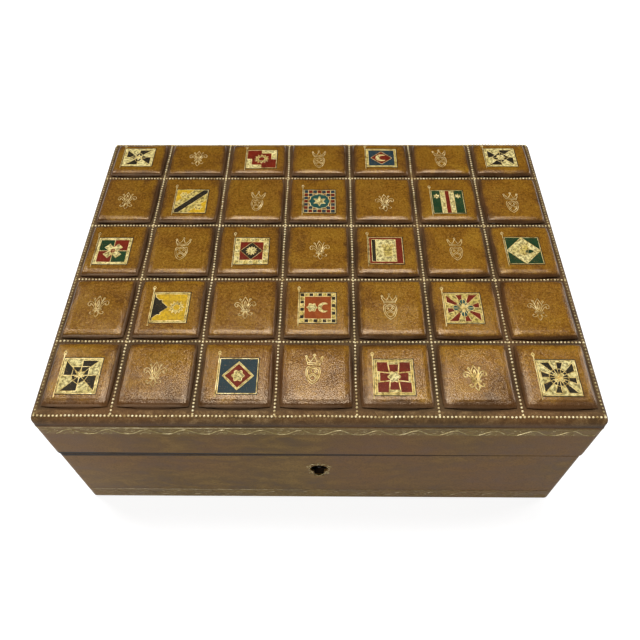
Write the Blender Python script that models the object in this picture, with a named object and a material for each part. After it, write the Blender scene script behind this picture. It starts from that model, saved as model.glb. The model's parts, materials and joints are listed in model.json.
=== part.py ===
"""Jewelry casket: a leather-covered wooden box with a moulded, padded lid.

Metres, +Z up, the front towards -Y. The origin is on the floor, under the middle of the casket.
The lid turns on two brass butt hinges set in a groove along the back edge, and a box lock with a
sliding bolt is let into the front wall.
"""
import math

import bmesh
import bpy
from mathutils import Matrix, Vector

# Case
CASE_WIDTH = 0.250
CASE_DEPTH = 0.180
BASE_RIM_HEIGHT = 0.0608
PARTING_GAP = 0.0006
LID_HEIGHT = 0.0370          # from the lid's rim to the bottom of the valleys between its pads
BASE_SETBACK = 0.0005        # how far the base's walls stand inside the lid's
CORNER_RADIUS = 0.0030
BOARD = 0.0090
BOTTOM_BOARD = 0.0050
TOP_BOARD = 0.0050
LEATHER = 0.0012
SEAT = 0.0003                # what is left between two pieces that lie on each other
RIM_ROUNDING = 0.0006
FOOT_ROUNDING = 0.0009
UNDERSIDE_COVER = 0.0008
UNDERSIDE_MARGIN = 0.0025
FOOT_TURN_IN = 0.0120
EDGE_RADIUS_MIN = 0.0004     # the least corner radius of an inner outline
OVERRUN = 0.0020             # how far a cutter passes the wall that it cuts

# Hinge groove along the back
GROOVE_INSET = 0.0030        # from the lid's back face to the hinge axis
GROOVE_ANGLE = math.radians(50)

# Moulded lid top
EDGE_ROUNDING = 0.0030
CAP_HEIGHT = 0.0054          # how far the top leather reaches down the sides
CAP_GROOVE = 0.0004
COLUMNS = 7
ROWS = 5
SIDE_MARGIN = 0.0023         # from the side face to the outermost valley line
FRONT_MARGIN = 0.0024
BACK_MARGIN = 0.0023
LEFT_COLUMN_TRIM = 0.00245   # how much narrower the first column is than the middle ones
RIGHT_COLUMN_TRIM = 0.00065
FRONT_ROW_EXTRA = 0.0008
BACK_ROW_TRIM = 0.0075
VALLEY_WIDTH = 0.0040
FRONT_STRIP = 0.0033         # from the front valley line to the foot of the pads
PAD_CORNER = 0.0016
SHOULDER_RUN = 0.0019
SHOULDER_RISE = 0.0020
CROWN_RUN = 0.0066
CROWN_RISE = 0.0034
CROWN_CORNER = 0.0030
WADDING_INSET = 0.0024       # from a pad's foot to its wadding
WADDING_SHEET = 0.0010

# Lining
LINING = 0.0010
LINING_REVEAL = 0.0020       # how far the lining stops short of the rim
PAD_THICKNESS = 0.0030
PAD_CROWN = 0.0010
PAD_CROWN_RUN = 0.0160
PAD_DRAW_IN = 0.0006

# Hinges
HINGE_FROM_SIDE = 0.0500     # from the case's side to the middle of the hinge
HINGE_LENGTH = 0.0300
HINGE_LEAF = 0.0012
HINGE_EDGE_MARGIN = 0.0005   # from the leaf's edge to the inner face of the rail
BARREL_RADIUS = 0.0020
PIN_RADIUS = 0.0010
PIN_CLEARANCE = 0.00012
PIN_HEAD = 0.0005
KNUCKLES = 5
KNUCKLE_GAP = 0.0003
HINGE_SCREW_EDGE = 0.0060    # from a leaf's end to its screw

# Countersunk brass screws
SCREW_HEAD_RADIUS = 0.0016
SCREW_SHANK_RADIUS = 0.0008
SCREW_HEAD_DEPTH = 0.0009
SCREW_LENGTH = 0.0066
SCREW_POINT = 0.0016
SCREW_SLOT_WIDTH = 0.0005
SCREW_SLOT_DEPTH = 0.0004
SCREW_FIT = 0.00025

# Box lock
LOCK_WIDTH = 0.0400
LOCK_HEIGHT = 0.0340
LOCK_PLATE = 0.0012
SELVEDGE_DEPTH = 0.0076
LOCK_CASE_WIDTH = 0.0270
LOCK_CASE_DEPTH = 0.0047
LOCK_CASE_WALL = 0.0008
LOCK_CASE_FOOT = 0.0018      # from the case's lower edge to the plate's
LOCK_SCREW_EDGE = 0.0030
LOCK_SCREW_RISE = 0.0090
KEYHOLE_DROP = 0.0180        # from the rim to the drill pin
KEYHOLE_RADIUS = 0.0044
KEYHOLE_SLOT_WIDTH = 0.0050
KEYHOLE_LENGTH = 0.0134
CASE_HOLE_RADIUS = 0.0026
CASE_SLOT_WIDTH = 0.0026
DRILL_PIN_RADIUS = 0.0012
DRILL_PIN_SETBACK = 0.0007   # how far the pin stops inside the outer leather
EYE_SPACING = 0.0120
EYE_PLATE = 0.0016
EYE_WIDTH = 0.0033
EYE_REACH = 0.0075           # how far the eyes hang below the base's rim
EYE_HOLE_WIDTH = 0.0020
EYE_HOLE_HEIGHT = 0.0032
EYE_HOLE_LIFT = 0.0012
BOLT_THICKNESS = 0.0014
BOLT_TRAVEL = 0.0036
BOLT_FINGER = 0.0024
BOLT_POST = 0.0017
BOLT_BAR = 0.0042
BOLT_BAR_DROP = 0.0009       # from the eyes' lower ends to the bar
BOLT_APPROACH = 0.0004       # from a finger's tip to its eye when the lock is open
TALON_WIDTH = 0.0040
TALON_DEPTH = 0.0014
STUD_RADIUS = 0.0007
STUD_HEAD_RADIUS = 0.0013
STUD_HEAD = 0.0005
STUD_CLEARANCE = 0.0003
STUD_OFFSET = 0.0035
SPRING_THICKNESS = 0.0004
SPRING_WIDTH = 0.0020
SPRING_DROP = 0.0060
SPRING_REACH = 0.0060

# Facets
CORNER_STEPS = 4
ROUND_SIDES = 24
SCREW_SIDES = 12
PIN_SIDES = 24
SMOOTH_ANGLE = math.radians(40)

# Places worked out from the sizes above
HALF_WIDTH = CASE_WIDTH / 2
HALF_DEPTH = CASE_DEPTH / 2
BASE_HALF_WIDTH = HALF_WIDTH - BASE_SETBACK
BASE_HALF_DEPTH = HALF_DEPTH - BASE_SETBACK
BASE_CORNER_RADIUS = CORNER_RADIUS - BASE_SETBACK
LID_RIM_HEIGHT = BASE_RIM_HEIGHT + PARTING_GAP
VALLEY_HEIGHT = LID_RIM_HEIGHT + LID_HEIGHT
SKIN = LEATHER + SEAT
WALL = SKIN + BOARD
HINGE_Y = HALF_DEPTH - GROOVE_INSET
HINGE_Z = BASE_RIM_HEIGHT + PARTING_GAP / 2
GROOVE_SLOPE = math.tan(GROOVE_ANGLE)
BOARD_DROP = LEATHER + SEAT / math.cos(GROOVE_ANGLE)

FOOT_Z = UNDERSIDE_COVER + SEAT
BOARD_FOOT_Z = FOOT_Z + LEATHER + SEAT
FLOOR_Z = FOOT_Z + BOTTOM_BOARD
WALL_FOOT_Z = FLOOR_Z + SEAT
BASE_BOARD_TOP = BASE_RIM_HEIGHT - SKIN
LID_BOARD_FOOT = LID_RIM_HEIGHT + SKIN
PADDING_Z = VALLEY_HEIGHT - LEATHER - SEAT - WADDING_SHEET
TOP_BOARD_TOP = PADDING_Z - SEAT
CEILING_Z = TOP_BOARD_TOP - TOP_BOARD
RAIL_TOP = CEILING_Z - SEAT

FRONT_FACE_Y = -BASE_HALF_DEPTH
FRONT_BOARD_OUT_Y = FRONT_FACE_Y + SKIN
FRONT_BOARD_IN_Y = FRONT_FACE_Y + WALL
LOCK_FACE_Y = FRONT_BOARD_IN_Y - LOCK_PLATE
CASE_BACK_Y = LOCK_FACE_Y - SEAT
CASE_FRONT_Y = CASE_BACK_Y - LOCK_CASE_DEPTH
CASE_HOLLOW_Y = CASE_FRONT_Y + LOCK_CASE_WALL
BOLT_Y = (CASE_HOLLOW_Y + CASE_BACK_Y) / 2
LOCK_FOOT_Z = BASE_RIM_HEIGHT - LOCK_HEIGHT
CASE_FOOT_Z = LOCK_FOOT_Z + LOCK_CASE_FOOT
PIN_Z = BASE_RIM_HEIGHT - KEYHOLE_DROP
EYE_FOOT_Z = BASE_RIM_HEIGHT - EYE_REACH
EYE_HOLE_FOOT = EYE_FOOT_Z + EYE_HOLE_LIFT
EYE_HOLE_MID = EYE_HOLE_FOOT + EYE_HOLE_HEIGHT / 2
BAR_TOP = EYE_FOOT_Z - BOLT_BAR_DROP
BAR_FOOT = BAR_TOP - BOLT_BAR
BAR_MID = (BAR_TOP + BAR_FOOT) / 2


def clear_scene():
    """Start from nothing, so that the file can be run again and again."""
    for old in list(bpy.data.objects):
        bpy.data.objects.remove(old, do_unlink=True)


def make_material(name, colour, roughness, metallic=0.0):
    material = bpy.data.materials.new(name)
    material.use_nodes = True
    shader = material.node_tree.nodes["Principled BSDF"]
    shader.inputs["Base Color"].default_value = (*colour, 1.0)
    shader.inputs["Roughness"].default_value = roughness
    shader.inputs["Metallic"].default_value = metallic
    material.diffuse_color = (*colour, 1.0)
    return material


def make_axis(name, place):
    """An empty on a joint's axis, which carries what turns or slides on it."""
    axis = bpy.data.objects.new(name, None)
    axis.location = place
    bpy.context.scene.collection.objects.link(axis)
    bpy.context.view_layer.update()
    return axis


def finish_mesh(name, bm):
    """Close a bmesh into a mesh whose faces all point outwards."""
    bmesh.ops.recalc_face_normals(bm, faces=bm.faces)
    mesh = bpy.data.meshes.new(name)
    bm.to_mesh(mesh)
    bm.free()
    return mesh


def place(name, mesh, material, carrier=None, location=(0, 0, 0), rotation=(0, 0, 0)):
    """Put a mesh into the scene at its place, riding on the axis that carries it."""
    if material is not None and not mesh.materials:
        mesh.materials.append(material)
    piece = bpy.data.objects.new(name, mesh)
    piece.location = location
    piece.rotation_euler = rotation
    bpy.context.scene.collection.objects.link(piece)
    if carrier is not None:
        piece.parent = carrier
        piece.matrix_parent_inverse = carrier.matrix_world.inverted()
    return piece


def carve(piece, cutters, operation="DIFFERENCE"):
    """Cut the cutters out of a piece, or join them to it, and clear them away."""
    for cutter in cutters:
        cutter.hide_render = True
        cutter.display_type = "WIRE"
        step = piece.modifiers.new(cutter.name, "BOOLEAN")
        step.operation = operation
        step.solver = "EXACT"
        step.object = cutter
    bpy.context.view_layer.update()
    evaluated = piece.evaluated_get(bpy.context.evaluated_depsgraph_get())
    shaped = bpy.data.meshes.new_from_object(evaluated)
    piece.modifiers.clear()
    piece.data = shaped
    for cutter in cutters:
        bpy.data.objects.remove(cutter, do_unlink=True)
    return piece


def smooth(piece):
    """Shade a round piece smooth and keep its true edges sharp."""
    piece.data.shade_smooth()
    piece.data.set_sharp_from_angle(angle=SMOOTH_ANGLE)
    return piece


def rounded_rect(half_x, half_y, radius, z, steps=CORNER_STEPS):
    """Points of a rectangle with round corners, anticlockwise from the right-hand side."""
    points = []
    for quarter, (sign_x, sign_y) in enumerate(((1, 1), (-1, 1), (-1, -1), (1, -1))):
        centre_x = sign_x * (half_x - radius)
        centre_y = sign_y * (half_y - radius)
        for step in range(steps + 1):
            angle = (quarter + step / steps) * math.pi / 2
            points.append(Vector((
                centre_x + radius * math.cos(angle),
                centre_y + radius * math.sin(angle),
                z,
            )))
    return points


def loft(loops, ring=False):
    """Skin a row of loops with the same number of points. A ring joins the last to the first."""
    bm = bmesh.new()
    rows = [[bm.verts.new(point) for point in loop] for loop in loops]
    count = len(loops[0])
    spans = list(zip(rows, rows[1:]))
    if ring:
        spans.append((rows[-1], rows[0]))
    for lower, upper in spans:
        for here in range(count):
            after = (here + 1) % count
            bm.faces.new((lower[here], lower[after], upper[after], upper[here]))
    if not ring:
        bm.faces.new(rows[0])
        bm.faces.new(rows[-1])
    return bm


def prism(outline, axis, start, end):
    """Extrude a flat outline along X, Y or Z from start to end."""
    bm = bmesh.new()
    rows = []
    for along in (start, end):
        row = []
        for first, second in outline:
            if axis == "X":
                place_at = (along, first, second)
            elif axis == "Y":
                place_at = (first, along, second)
            else:
                place_at = (first, second, along)
            row.append(bm.verts.new(place_at))
        rows.append(row)
    count = len(outline)
    for here in range(count):
        after = (here + 1) % count
        bm.faces.new((rows[0][here], rows[0][after], rows[1][after], rows[1][here]))
    bm.faces.new(rows[0])
    bm.faces.new(rows[1])
    return bm


def block(low, high):
    """A plain box between two corners."""
    outline = ((low[0], low[1]), (high[0], low[1]), (high[0], high[1]), (low[0], high[1]))
    return prism(outline, "Z", low[2], high[2])


def lathe(profile, sides):
    """Turn a profile of (radius, height) about Z. Its ends are closed with flat faces."""
    loops = []
    for radius, height in profile:
        loop = []
        for side in range(sides):
            angle = 2 * math.pi * side / sides
            loop.append(Vector((radius * math.cos(angle), radius * math.sin(angle), height)))
        loops.append(loop)
    return loft(loops)


def cutter(name, bm):
    return place(name, finish_mesh(name, bm), None)


def turned(bm, matrix):
    """Move and turn a bmesh, for a cutter that isn't upright."""
    bmesh.ops.transform(bm, matrix=matrix, verts=bm.verts)
    return bm


def ease_outer_corners(bm, half_x, y_out, radius):
    """Round the two upright outer corners of a wall board."""
    near = radius / 10
    edges = []
    for edge in bm.edges:
        first, second = (vert.co for vert in edge.verts)
        upright = (first.xy - second.xy).length < near
        outer = abs(abs(first.x) - half_x) < near and abs(first.y - y_out) < near
        if upright and outer:
            edges.append(edge)
    bmesh.ops.bevel(bm, geom=edges, offset=radius, segments=2, profile=0.5, affect="EDGES")
    return bm


# Screws
def screw_profile(fit, depth_run):
    """Countersunk head, shank and point, from the top down. A hole is the same, with some fit."""
    return [
        (SCREW_HEAD_RADIUS + fit, depth_run),
        (SCREW_HEAD_RADIUS + fit, 0),
        (SCREW_SHANK_RADIUS + fit, -SCREW_HEAD_DEPTH),
    ]


def make_screw_mesh(material):
    profile = screw_profile(0, -SCREW_FIT / 2)[::2]
    profile.append((SCREW_SHANK_RADIUS, -SCREW_LENGTH + SCREW_POINT))
    profile.append((SCREW_SHANK_RADIUS / 4, -SCREW_LENGTH))
    screw = place("screw_pattern", finish_mesh("screw", lathe(profile, SCREW_SIDES)), material)
    slot = cutter("screw_slot", block(
        (-SCREW_HEAD_RADIUS - OVERRUN, -SCREW_SLOT_WIDTH / 2, -SCREW_SLOT_DEPTH),
        (SCREW_HEAD_RADIUS + OVERRUN, SCREW_SLOT_WIDTH / 2, OVERRUN),
    ))
    carve(screw, [slot])
    mesh = screw.data
    mesh.shade_smooth()
    mesh.set_sharp_from_angle(angle=SMOOTH_ANGLE)
    bpy.data.objects.remove(screw, do_unlink=True)
    return mesh


def screw_hole(name, spot, matrix, depth):
    """A countersunk hole at a spot. The matrix turns its axis, which starts as -Z into the wood."""
    profile = screw_profile(SCREW_FIT, OVERRUN)
    profile.append((SCREW_SHANK_RADIUS + SCREW_FIT, -depth))
    bm = lathe(profile, SCREW_SIDES)
    return cutter(name, turned(bm, Matrix.Translation(spot) @ matrix))


def pilot_hole(name, spot, matrix):
    """The straight hole that a screw's shank fills in the wood."""
    radius = SCREW_SHANK_RADIUS + SCREW_FIT
    bm = lathe([(radius, 0), (radius, -SCREW_LENGTH - SEAT)], SCREW_SIDES)
    return cutter(name, turned(bm, Matrix.Translation(spot) @ matrix))


DOWN = Matrix.Identity(4)
UP = Matrix.Rotation(math.pi, 4, "X")
FORWARD = Matrix.Rotation(-math.pi / 2, 4, "X")


def hinge_middles():
    """The middles of the two hinges along the axis."""
    offset = HALF_WIDTH - HINGE_FROM_SIDE
    return (("left", -offset), ("right", offset))


def hinge_reach():
    """How far a leaf reaches forward of the axis over the rim."""
    return HINGE_Y - (HALF_DEPTH - WALL) - HINGE_EDGE_MARGIN


def hinge_plate_edge():
    """How close the leaf's plate comes to the axis beside the other leaf's knuckles."""
    return BARREL_RADIUS + SEAT


def hinge_screw_spots():
    """Offsets along and across the axis of the screws in one leaf."""
    across = -(hinge_reach() + hinge_plate_edge()) / 2
    along = HINGE_LENGTH / 2 - HINGE_SCREW_EDGE
    return ((-along, across), (along, across))


# Wooden carcass of the base
def groove_profile(y_in, y_out, z_far, up):
    """Section of a back wall board in Y and Z, with the slope of the hinge groove on its rim.

    For the base z_far is the board's foot and up is 1; for the lid it is its top and up is -1.
    """
    rim = BASE_RIM_HEIGHT if up > 0 else LID_RIM_HEIGHT
    flat = rim - up * SKIN
    knee = HINGE_Y - (BOARD_DROP - SKIN) / GROOVE_SLOPE
    slope_end = rim - up * (BOARD_DROP + (y_out - HINGE_Y) * GROOVE_SLOPE)
    return [(y_in, z_far), (y_out, z_far), (y_out, slope_end), (knee, flat), (y_in, flat)]


def barrel_pocket(name, up):
    """The cutters that let the hinge barrels into the boards' and leather's back edge."""
    cutters = []
    reach = BARREL_RADIUS + SEAT
    half = HINGE_LENGTH / 2 + SEAT
    far = HINGE_Z - up * reach
    near = HINGE_Z + up * OVERRUN
    for side, middle in hinge_middles():
        low = (middle - half, HINGE_Y - reach, min(far, near))
        high = (middle + half, HALF_DEPTH + OVERRUN, max(far, near))
        cutters.append(cutter(f"{name}_{side}", block(low, high)))
    return cutters


def hinge_pilots(name, up):
    """The pilot holes of the hinge screws, down into the base or up into the lid."""
    cutters = []
    matrix = DOWN if up > 0 else UP
    level = HINGE_Z - up * PARTING_GAP / 2
    for side, middle in hinge_middles():
        for number, (along, across) in enumerate(hinge_screw_spots()):
            spot = Vector((middle + along, HINGE_Y + across, level))
            cutters.append(pilot_hole(f"{name}_{side}_{number}", spot, matrix))
    return cutters


def make_base_boards(wood):
    half_x = BASE_HALF_WIDTH - SKIN
    y_out = BASE_HALF_DEPTH - SKIN
    y_in = BASE_HALF_DEPTH - WALL
    corner = max(BASE_CORNER_RADIUS - SKIN, EDGE_RADIUS_MIN)

    profile = groove_profile(y_in, y_out, WALL_FOOT_Z, 1)
    bm = ease_outer_corners(prism(profile, "X", -half_x, half_x), half_x, y_out, corner)
    back = place("base_back_board", finish_mesh("base_back_board", bm), wood)
    carve(back, barrel_pocket("base_pocket", 1) + hinge_pilots("base_pilot", 1))

    for side, sign in (("left", -1), ("right", 1)):
        inner = sign * (BASE_HALF_WIDTH - WALL)
        outer = sign * half_x
        low = (min(inner, outer), -y_in + SEAT, WALL_FOOT_Z)
        high = (max(inner, outer), y_in - SEAT, BASE_BOARD_TOP)
        name = f"base_{side}_board"
        place(name, finish_mesh(name, block(low, high)), wood)

    field_x = BASE_HALF_WIDTH - FOOT_TURN_IN - SEAT
    field_y = BASE_HALF_DEPTH - FOOT_TURN_IN - SEAT
    loops = [
        rounded_rect(field_x, field_y, corner, FOOT_Z),
        rounded_rect(field_x, field_y, corner, BOARD_FOOT_Z),
        rounded_rect(half_x, y_out, corner, BOARD_FOOT_Z),
        rounded_rect(half_x, y_out, corner, FLOOR_Z),
    ]
    place("base_bottom_board", finish_mesh("base_bottom_board", loft(loops)), wood)


def keyhole_outline(radius, slot_width, length):
    """Round head and narrow slot of a keyhole, in X and Z about the drill pin."""
    foot = radius - length
    half = slot_width / 2
    start = math.asin(half / radius)
    points = [(-half, foot), (half, foot)]
    steps = ROUND_SIDES
    sweep = 2 * math.pi - 2 * start
    for step in range(steps + 1):
        angle = -math.pi / 2 + start + sweep * step / steps
        points.append((radius * math.cos(angle), radius * math.sin(angle)))
    return points


def keyhole_cutter(name, radius, slot_width, length, y_from, y_to):
    outline = [(x, PIN_Z + z) for x, z in keyhole_outline(radius, slot_width, length)]
    return cutter(name, prism(outline, "Y", y_from, y_to))


def lock_screw_spots():
    """Places and directions of the four lock screws: two in the rim plate, two in the back plate."""
    across = LOCK_WIDTH / 2 - LOCK_SCREW_EDGE
    rim_y = FRONT_BOARD_IN_Y - SELVEDGE_DEPTH / 2
    spots = []
    for sign in (-1, 1):
        spots.append((Vector((sign * across, rim_y, BASE_RIM_HEIGHT)), DOWN))
    for sign in (-1, 1):
        spots.append((Vector((sign * across, FRONT_BOARD_IN_Y, LOCK_FOOT_Z + LOCK_SCREW_RISE)), FORWARD))
    return spots


def make_base_front_board(wood):
    """The front wall, let out for the lock and pierced by the keyhole."""
    half_x = BASE_HALF_WIDTH - SKIN
    corner = max(BASE_CORNER_RADIUS - SKIN, EDGE_RADIUS_MIN)
    low = (-half_x, FRONT_BOARD_OUT_Y, WALL_FOOT_Z)
    high = (half_x, FRONT_BOARD_IN_Y, BASE_BOARD_TOP)
    bm = ease_outer_corners(block(low, high), half_x, FRONT_BOARD_OUT_Y, corner)
    front = place("base_front_board", finish_mesh("base_front_board", bm), wood)

    case_half = LOCK_CASE_WIDTH / 2 + SEAT
    plate_half = LOCK_WIDTH / 2 + SEAT
    cutters = [
        cutter("case_pocket", block(
            (-case_half, CASE_FRONT_Y - SEAT, CASE_FOOT_Z - SEAT),
            (case_half, FRONT_BOARD_IN_Y + OVERRUN, BASE_RIM_HEIGHT + OVERRUN),
        )),
        cutter("plate_pocket", block(
            (-plate_half, LOCK_FACE_Y - SEAT, LOCK_FOOT_Z - SEAT),
            (plate_half, FRONT_BOARD_IN_Y + OVERRUN, BASE_RIM_HEIGHT + OVERRUN),
        )),
        keyhole_cutter(
            "board_keyhole", KEYHOLE_RADIUS, KEYHOLE_SLOT_WIDTH, KEYHOLE_LENGTH,
            FRONT_FACE_Y - OVERRUN, CASE_FRONT_Y,
        ),
    ]
    for number, (spot, matrix) in enumerate(lock_screw_spots()):
        cutters.append(pilot_hole(f"lock_pilot_{number}", spot, matrix))
    carve(front, cutters)


# Leather of the base
def under_groove(point, rim, up, drop):
    """Bring a point of the leather down to the slope of the hinge groove where it is behind it."""
    if point.y > HINGE_Y:
        slope = rim - up * (drop + (point.y - HINGE_Y) * GROOVE_SLOPE)
        point.z = min(point.z, slope) if up > 0 else max(point.z, slope)
    return point


def wrap_loops(half_x, half_y, radius, section, rim, up):
    """Loops of a leather wrap. The section lists (inset, height, drop under the groove's slope)."""
    loops = []
    for inset, height, drop in section:
        loop = rounded_rect(
            half_x - inset, half_y - inset, max(radius - inset, EDGE_RADIUS_MIN), height)
        loops.append([under_groove(point, rim, up, drop) for point in loop])
    return loops


def hinge_leaf_cutters(name, up):
    """The cut-outs for the hinge leaves in the leather of a rim."""
    cutters = []
    half = HINGE_LENGTH / 2 + SEAT
    rim = BASE_RIM_HEIGHT if up > 0 else LID_RIM_HEIGHT
    far = rim - up * (LEATHER + SEAT / 2)
    near = rim + up * OVERRUN
    for side, middle in hinge_middles():
        low = (middle - half, HINGE_Y - hinge_reach() - SEAT, min(far, near))
        high = (middle + half, HALF_DEPTH + OVERRUN, max(far, near))
        cutters.append(cutter(f"{name}_{side}", block(low, high)))
    return cutters


def make_base_leather(leather):
    """Outer leather of the base: under the foot, up the walls and over the rim, in one ring."""
    rim = BASE_RIM_HEIGHT
    groove = BASE_HALF_DEPTH - HINGE_Y
    section = [
        (FOOT_ROUNDING, FOOT_Z, 0),
        (0, FOOT_Z + FOOT_ROUNDING, 0),
        (0, rim - RIM_ROUNDING, 0),
        (RIM_ROUNDING, rim, 0),
        (groove, rim, 0),
        (WALL, rim, 0),
        (WALL, rim - LEATHER, LEATHER),
        (groove, rim - LEATHER, LEATHER),
        (LEATHER, rim - LEATHER, LEATHER),
        (LEATHER, FOOT_Z + LEATHER, LEATHER),
        (FOOT_TURN_IN, FOOT_Z + LEATHER, LEATHER),
        (FOOT_TURN_IN, FOOT_Z, 0),
    ]
    loops = wrap_loops(BASE_HALF_WIDTH, BASE_HALF_DEPTH, BASE_CORNER_RADIUS, section, rim, 1)
    wrap = place("base_leather", finish_mesh("base_leather", loft(loops, ring=True)), leather)
    lock_half = LOCK_WIDTH / 2 + SEAT
    cutters = hinge_leaf_cutters("base_leaf", 1) + barrel_pocket("base_barrel", 1)
    cutters.append(cutter("selvedge_seat", block(
        (-lock_half, FRONT_BOARD_IN_Y - SELVEDGE_DEPTH - SEAT, rim - LEATHER - SEAT / 2),
        (lock_half, FRONT_BOARD_IN_Y + OVERRUN, rim + OVERRUN),
    )))
    cutters.append(keyhole_cutter(
        "leather_keyhole", KEYHOLE_RADIUS, KEYHOLE_SLOT_WIDTH, KEYHOLE_LENGTH,
        FRONT_FACE_Y - OVERRUN, FRONT_FACE_Y + LEATHER + SEAT / 2,
    ))
    smooth(carve(wrap, cutters))


def make_underside_cover(leather):
    half_x = BASE_HALF_WIDTH - UNDERSIDE_MARGIN
    half_y = BASE_HALF_DEPTH - UNDERSIDE_MARGIN
    loops = [
        rounded_rect(half_x, half_y, CORNER_RADIUS, 0),
        rounded_rect(half_x, half_y, CORNER_RADIUS, UNDERSIDE_COVER),
    ]
    name = "base_underside_cover"
    smooth(place(name, finish_mesh(name, loft(loops)), leather))


# Lining and pads
def make_lining(name, half_x, half_y, z_low, z_high, cloth, carrier):
    """A lining that stands against the four inner walls."""
    inner_x = half_x - LINING
    inner_y = half_y - LINING
    outer_radius = EDGE_RADIUS_MIN + LINING
    loops = [
        rounded_rect(half_x, half_y, outer_radius, z_low, 2),
        rounded_rect(half_x, half_y, outer_radius, z_high, 2),
        rounded_rect(inner_x, inner_y, EDGE_RADIUS_MIN, z_high, 2),
        rounded_rect(inner_x, inner_y, EDGE_RADIUS_MIN, z_low, 2),
    ]
    smooth(place(name, finish_mesh(name, loft(loops, ring=True)), cloth, carrier))


def make_pad(name, half_x, half_y, z_back, facing, cloth, carrier):
    """A crowned pad with drawn-in sides. facing is 1 for the floor and -1 for the ceiling."""
    draw = PAD_DRAW_IN
    section = (
        (draw, 0),
        (0, PAD_THICKNESS / 3),
        (draw, PAD_THICKNESS * 2 / 3),
        (draw + PAD_THICKNESS / 2, PAD_THICKNESS),
        (draw + PAD_CROWN_RUN / 2, PAD_THICKNESS + PAD_CROWN * 3 / 4),
        (draw + PAD_CROWN_RUN, PAD_THICKNESS + PAD_CROWN),
    )
    loops = []
    for inset, rise in section:
        radius = LINING + EDGE_RADIUS_MIN
        loops.append(rounded_rect(half_x - inset, half_y - inset, radius, z_back + facing * rise))
    smooth(place(name, finish_mesh(name, loft(loops)), cloth, carrier))


def make_linings(cloth, lid_axis):
    base_x = BASE_HALF_WIDTH - WALL - SEAT
    base_y = BASE_HALF_DEPTH - WALL - SEAT
    make_lining("base_lining", base_x, base_y, WALL_FOOT_Z, BASE_RIM_HEIGHT - LINING_REVEAL, cloth, None)
    inset = LINING + SEAT
    make_pad("base_floor_pad", base_x - inset, base_y - inset, WALL_FOOT_Z, 1, cloth, None)

    lid_x = HALF_WIDTH - WALL - SEAT
    lid_y = HALF_DEPTH - WALL - SEAT
    make_lining("lid_lining", lid_x, lid_y, LID_RIM_HEIGHT + LINING_REVEAL, RAIL_TOP, cloth, lid_axis)
    make_pad("lid_ceiling_pad", lid_x - inset, lid_y - inset, RAIL_TOP, -1, cloth, lid_axis)


# Wooden carcass of the lid
def make_lid_boards(wood, lid_axis):
    half_x = HALF_WIDTH - SKIN
    y_out = HALF_DEPTH - SKIN
    y_in = HALF_DEPTH - WALL
    corner = max(CORNER_RADIUS - SKIN, EDGE_RADIUS_MIN)

    profile = groove_profile(y_in, y_out, RAIL_TOP, -1)
    bm = ease_outer_corners(prism(profile, "X", -half_x, half_x), half_x, y_out, corner)
    back = place("lid_back_rail", finish_mesh("lid_back_rail", bm), wood, lid_axis)
    carve(back, barrel_pocket("lid_pocket", -1) + hinge_pilots("lid_pilot", -1))

    bm = block((-half_x, -y_out, LID_BOARD_FOOT), (half_x, -y_in, RAIL_TOP))
    bm = ease_outer_corners(bm, half_x, -y_out, corner)
    front = place("lid_front_rail", finish_mesh("lid_front_rail", bm), wood, lid_axis)
    pilots = []
    for number, spot in enumerate(link_screw_spots()):
        pilots.append(pilot_hole(f"link_pilot_{number}", spot, UP))
    carve(front, pilots)

    for side, sign in (("left", -1), ("right", 1)):
        inner = sign * (HALF_WIDTH - WALL)
        outer = sign * half_x
        low = (min(inner, outer), -y_in + SEAT, LID_BOARD_FOOT)
        high = (max(inner, outer), y_in - SEAT, RAIL_TOP)
        name = f"lid_{side}_rail"
        place(name, finish_mesh(name, block(low, high)), wood, lid_axis)

    loops = [
        rounded_rect(half_x, y_out, corner, CEILING_Z),
        rounded_rect(half_x, y_out, corner, TOP_BOARD_TOP),
    ]
    place("lid_top_board", finish_mesh("lid_top_board", loft(loops)), wood, lid_axis)


def make_lid_side_leather(leather, lid_axis):
    """Leather of the lid's four sides, turned in over its rim and stopping below the cap."""
    rim = LID_RIM_HEIGHT
    top = VALLEY_HEIGHT - CAP_HEIGHT - CAP_GROOVE
    section = [
        (LEATHER, top, LEATHER),
        (0, top, 0),
        (0, rim + RIM_ROUNDING, 0),
        (RIM_ROUNDING, rim, 0),
        (GROOVE_INSET, rim, 0),
        (WALL, rim, 0),
        (WALL, rim + LEATHER, LEATHER),
        (GROOVE_INSET, rim + LEATHER, LEATHER),
        (LEATHER, rim + LEATHER, LEATHER),
    ]
    loops = wrap_loops(HALF_WIDTH, HALF_DEPTH, CORNER_RADIUS, section, rim, -1)
    name = "lid_side_leather"
    wrap = place(name, finish_mesh(name, loft(loops, ring=True)), leather, lid_axis)
    lock_half = LOCK_WIDTH / 2 + SEAT
    cutters = hinge_leaf_cutters("lid_leaf", -1) + barrel_pocket("lid_barrel", -1)
    cutters.append(cutter("link_seat", block(
        (-lock_half, FRONT_BOARD_IN_Y - SELVEDGE_DEPTH - SEAT, rim - OVERRUN),
        (lock_half, OVERRUN - HALF_DEPTH + WALL, rim + LEATHER + SEAT / 2),
    )))
    smooth(carve(wrap, cutters))


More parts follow.
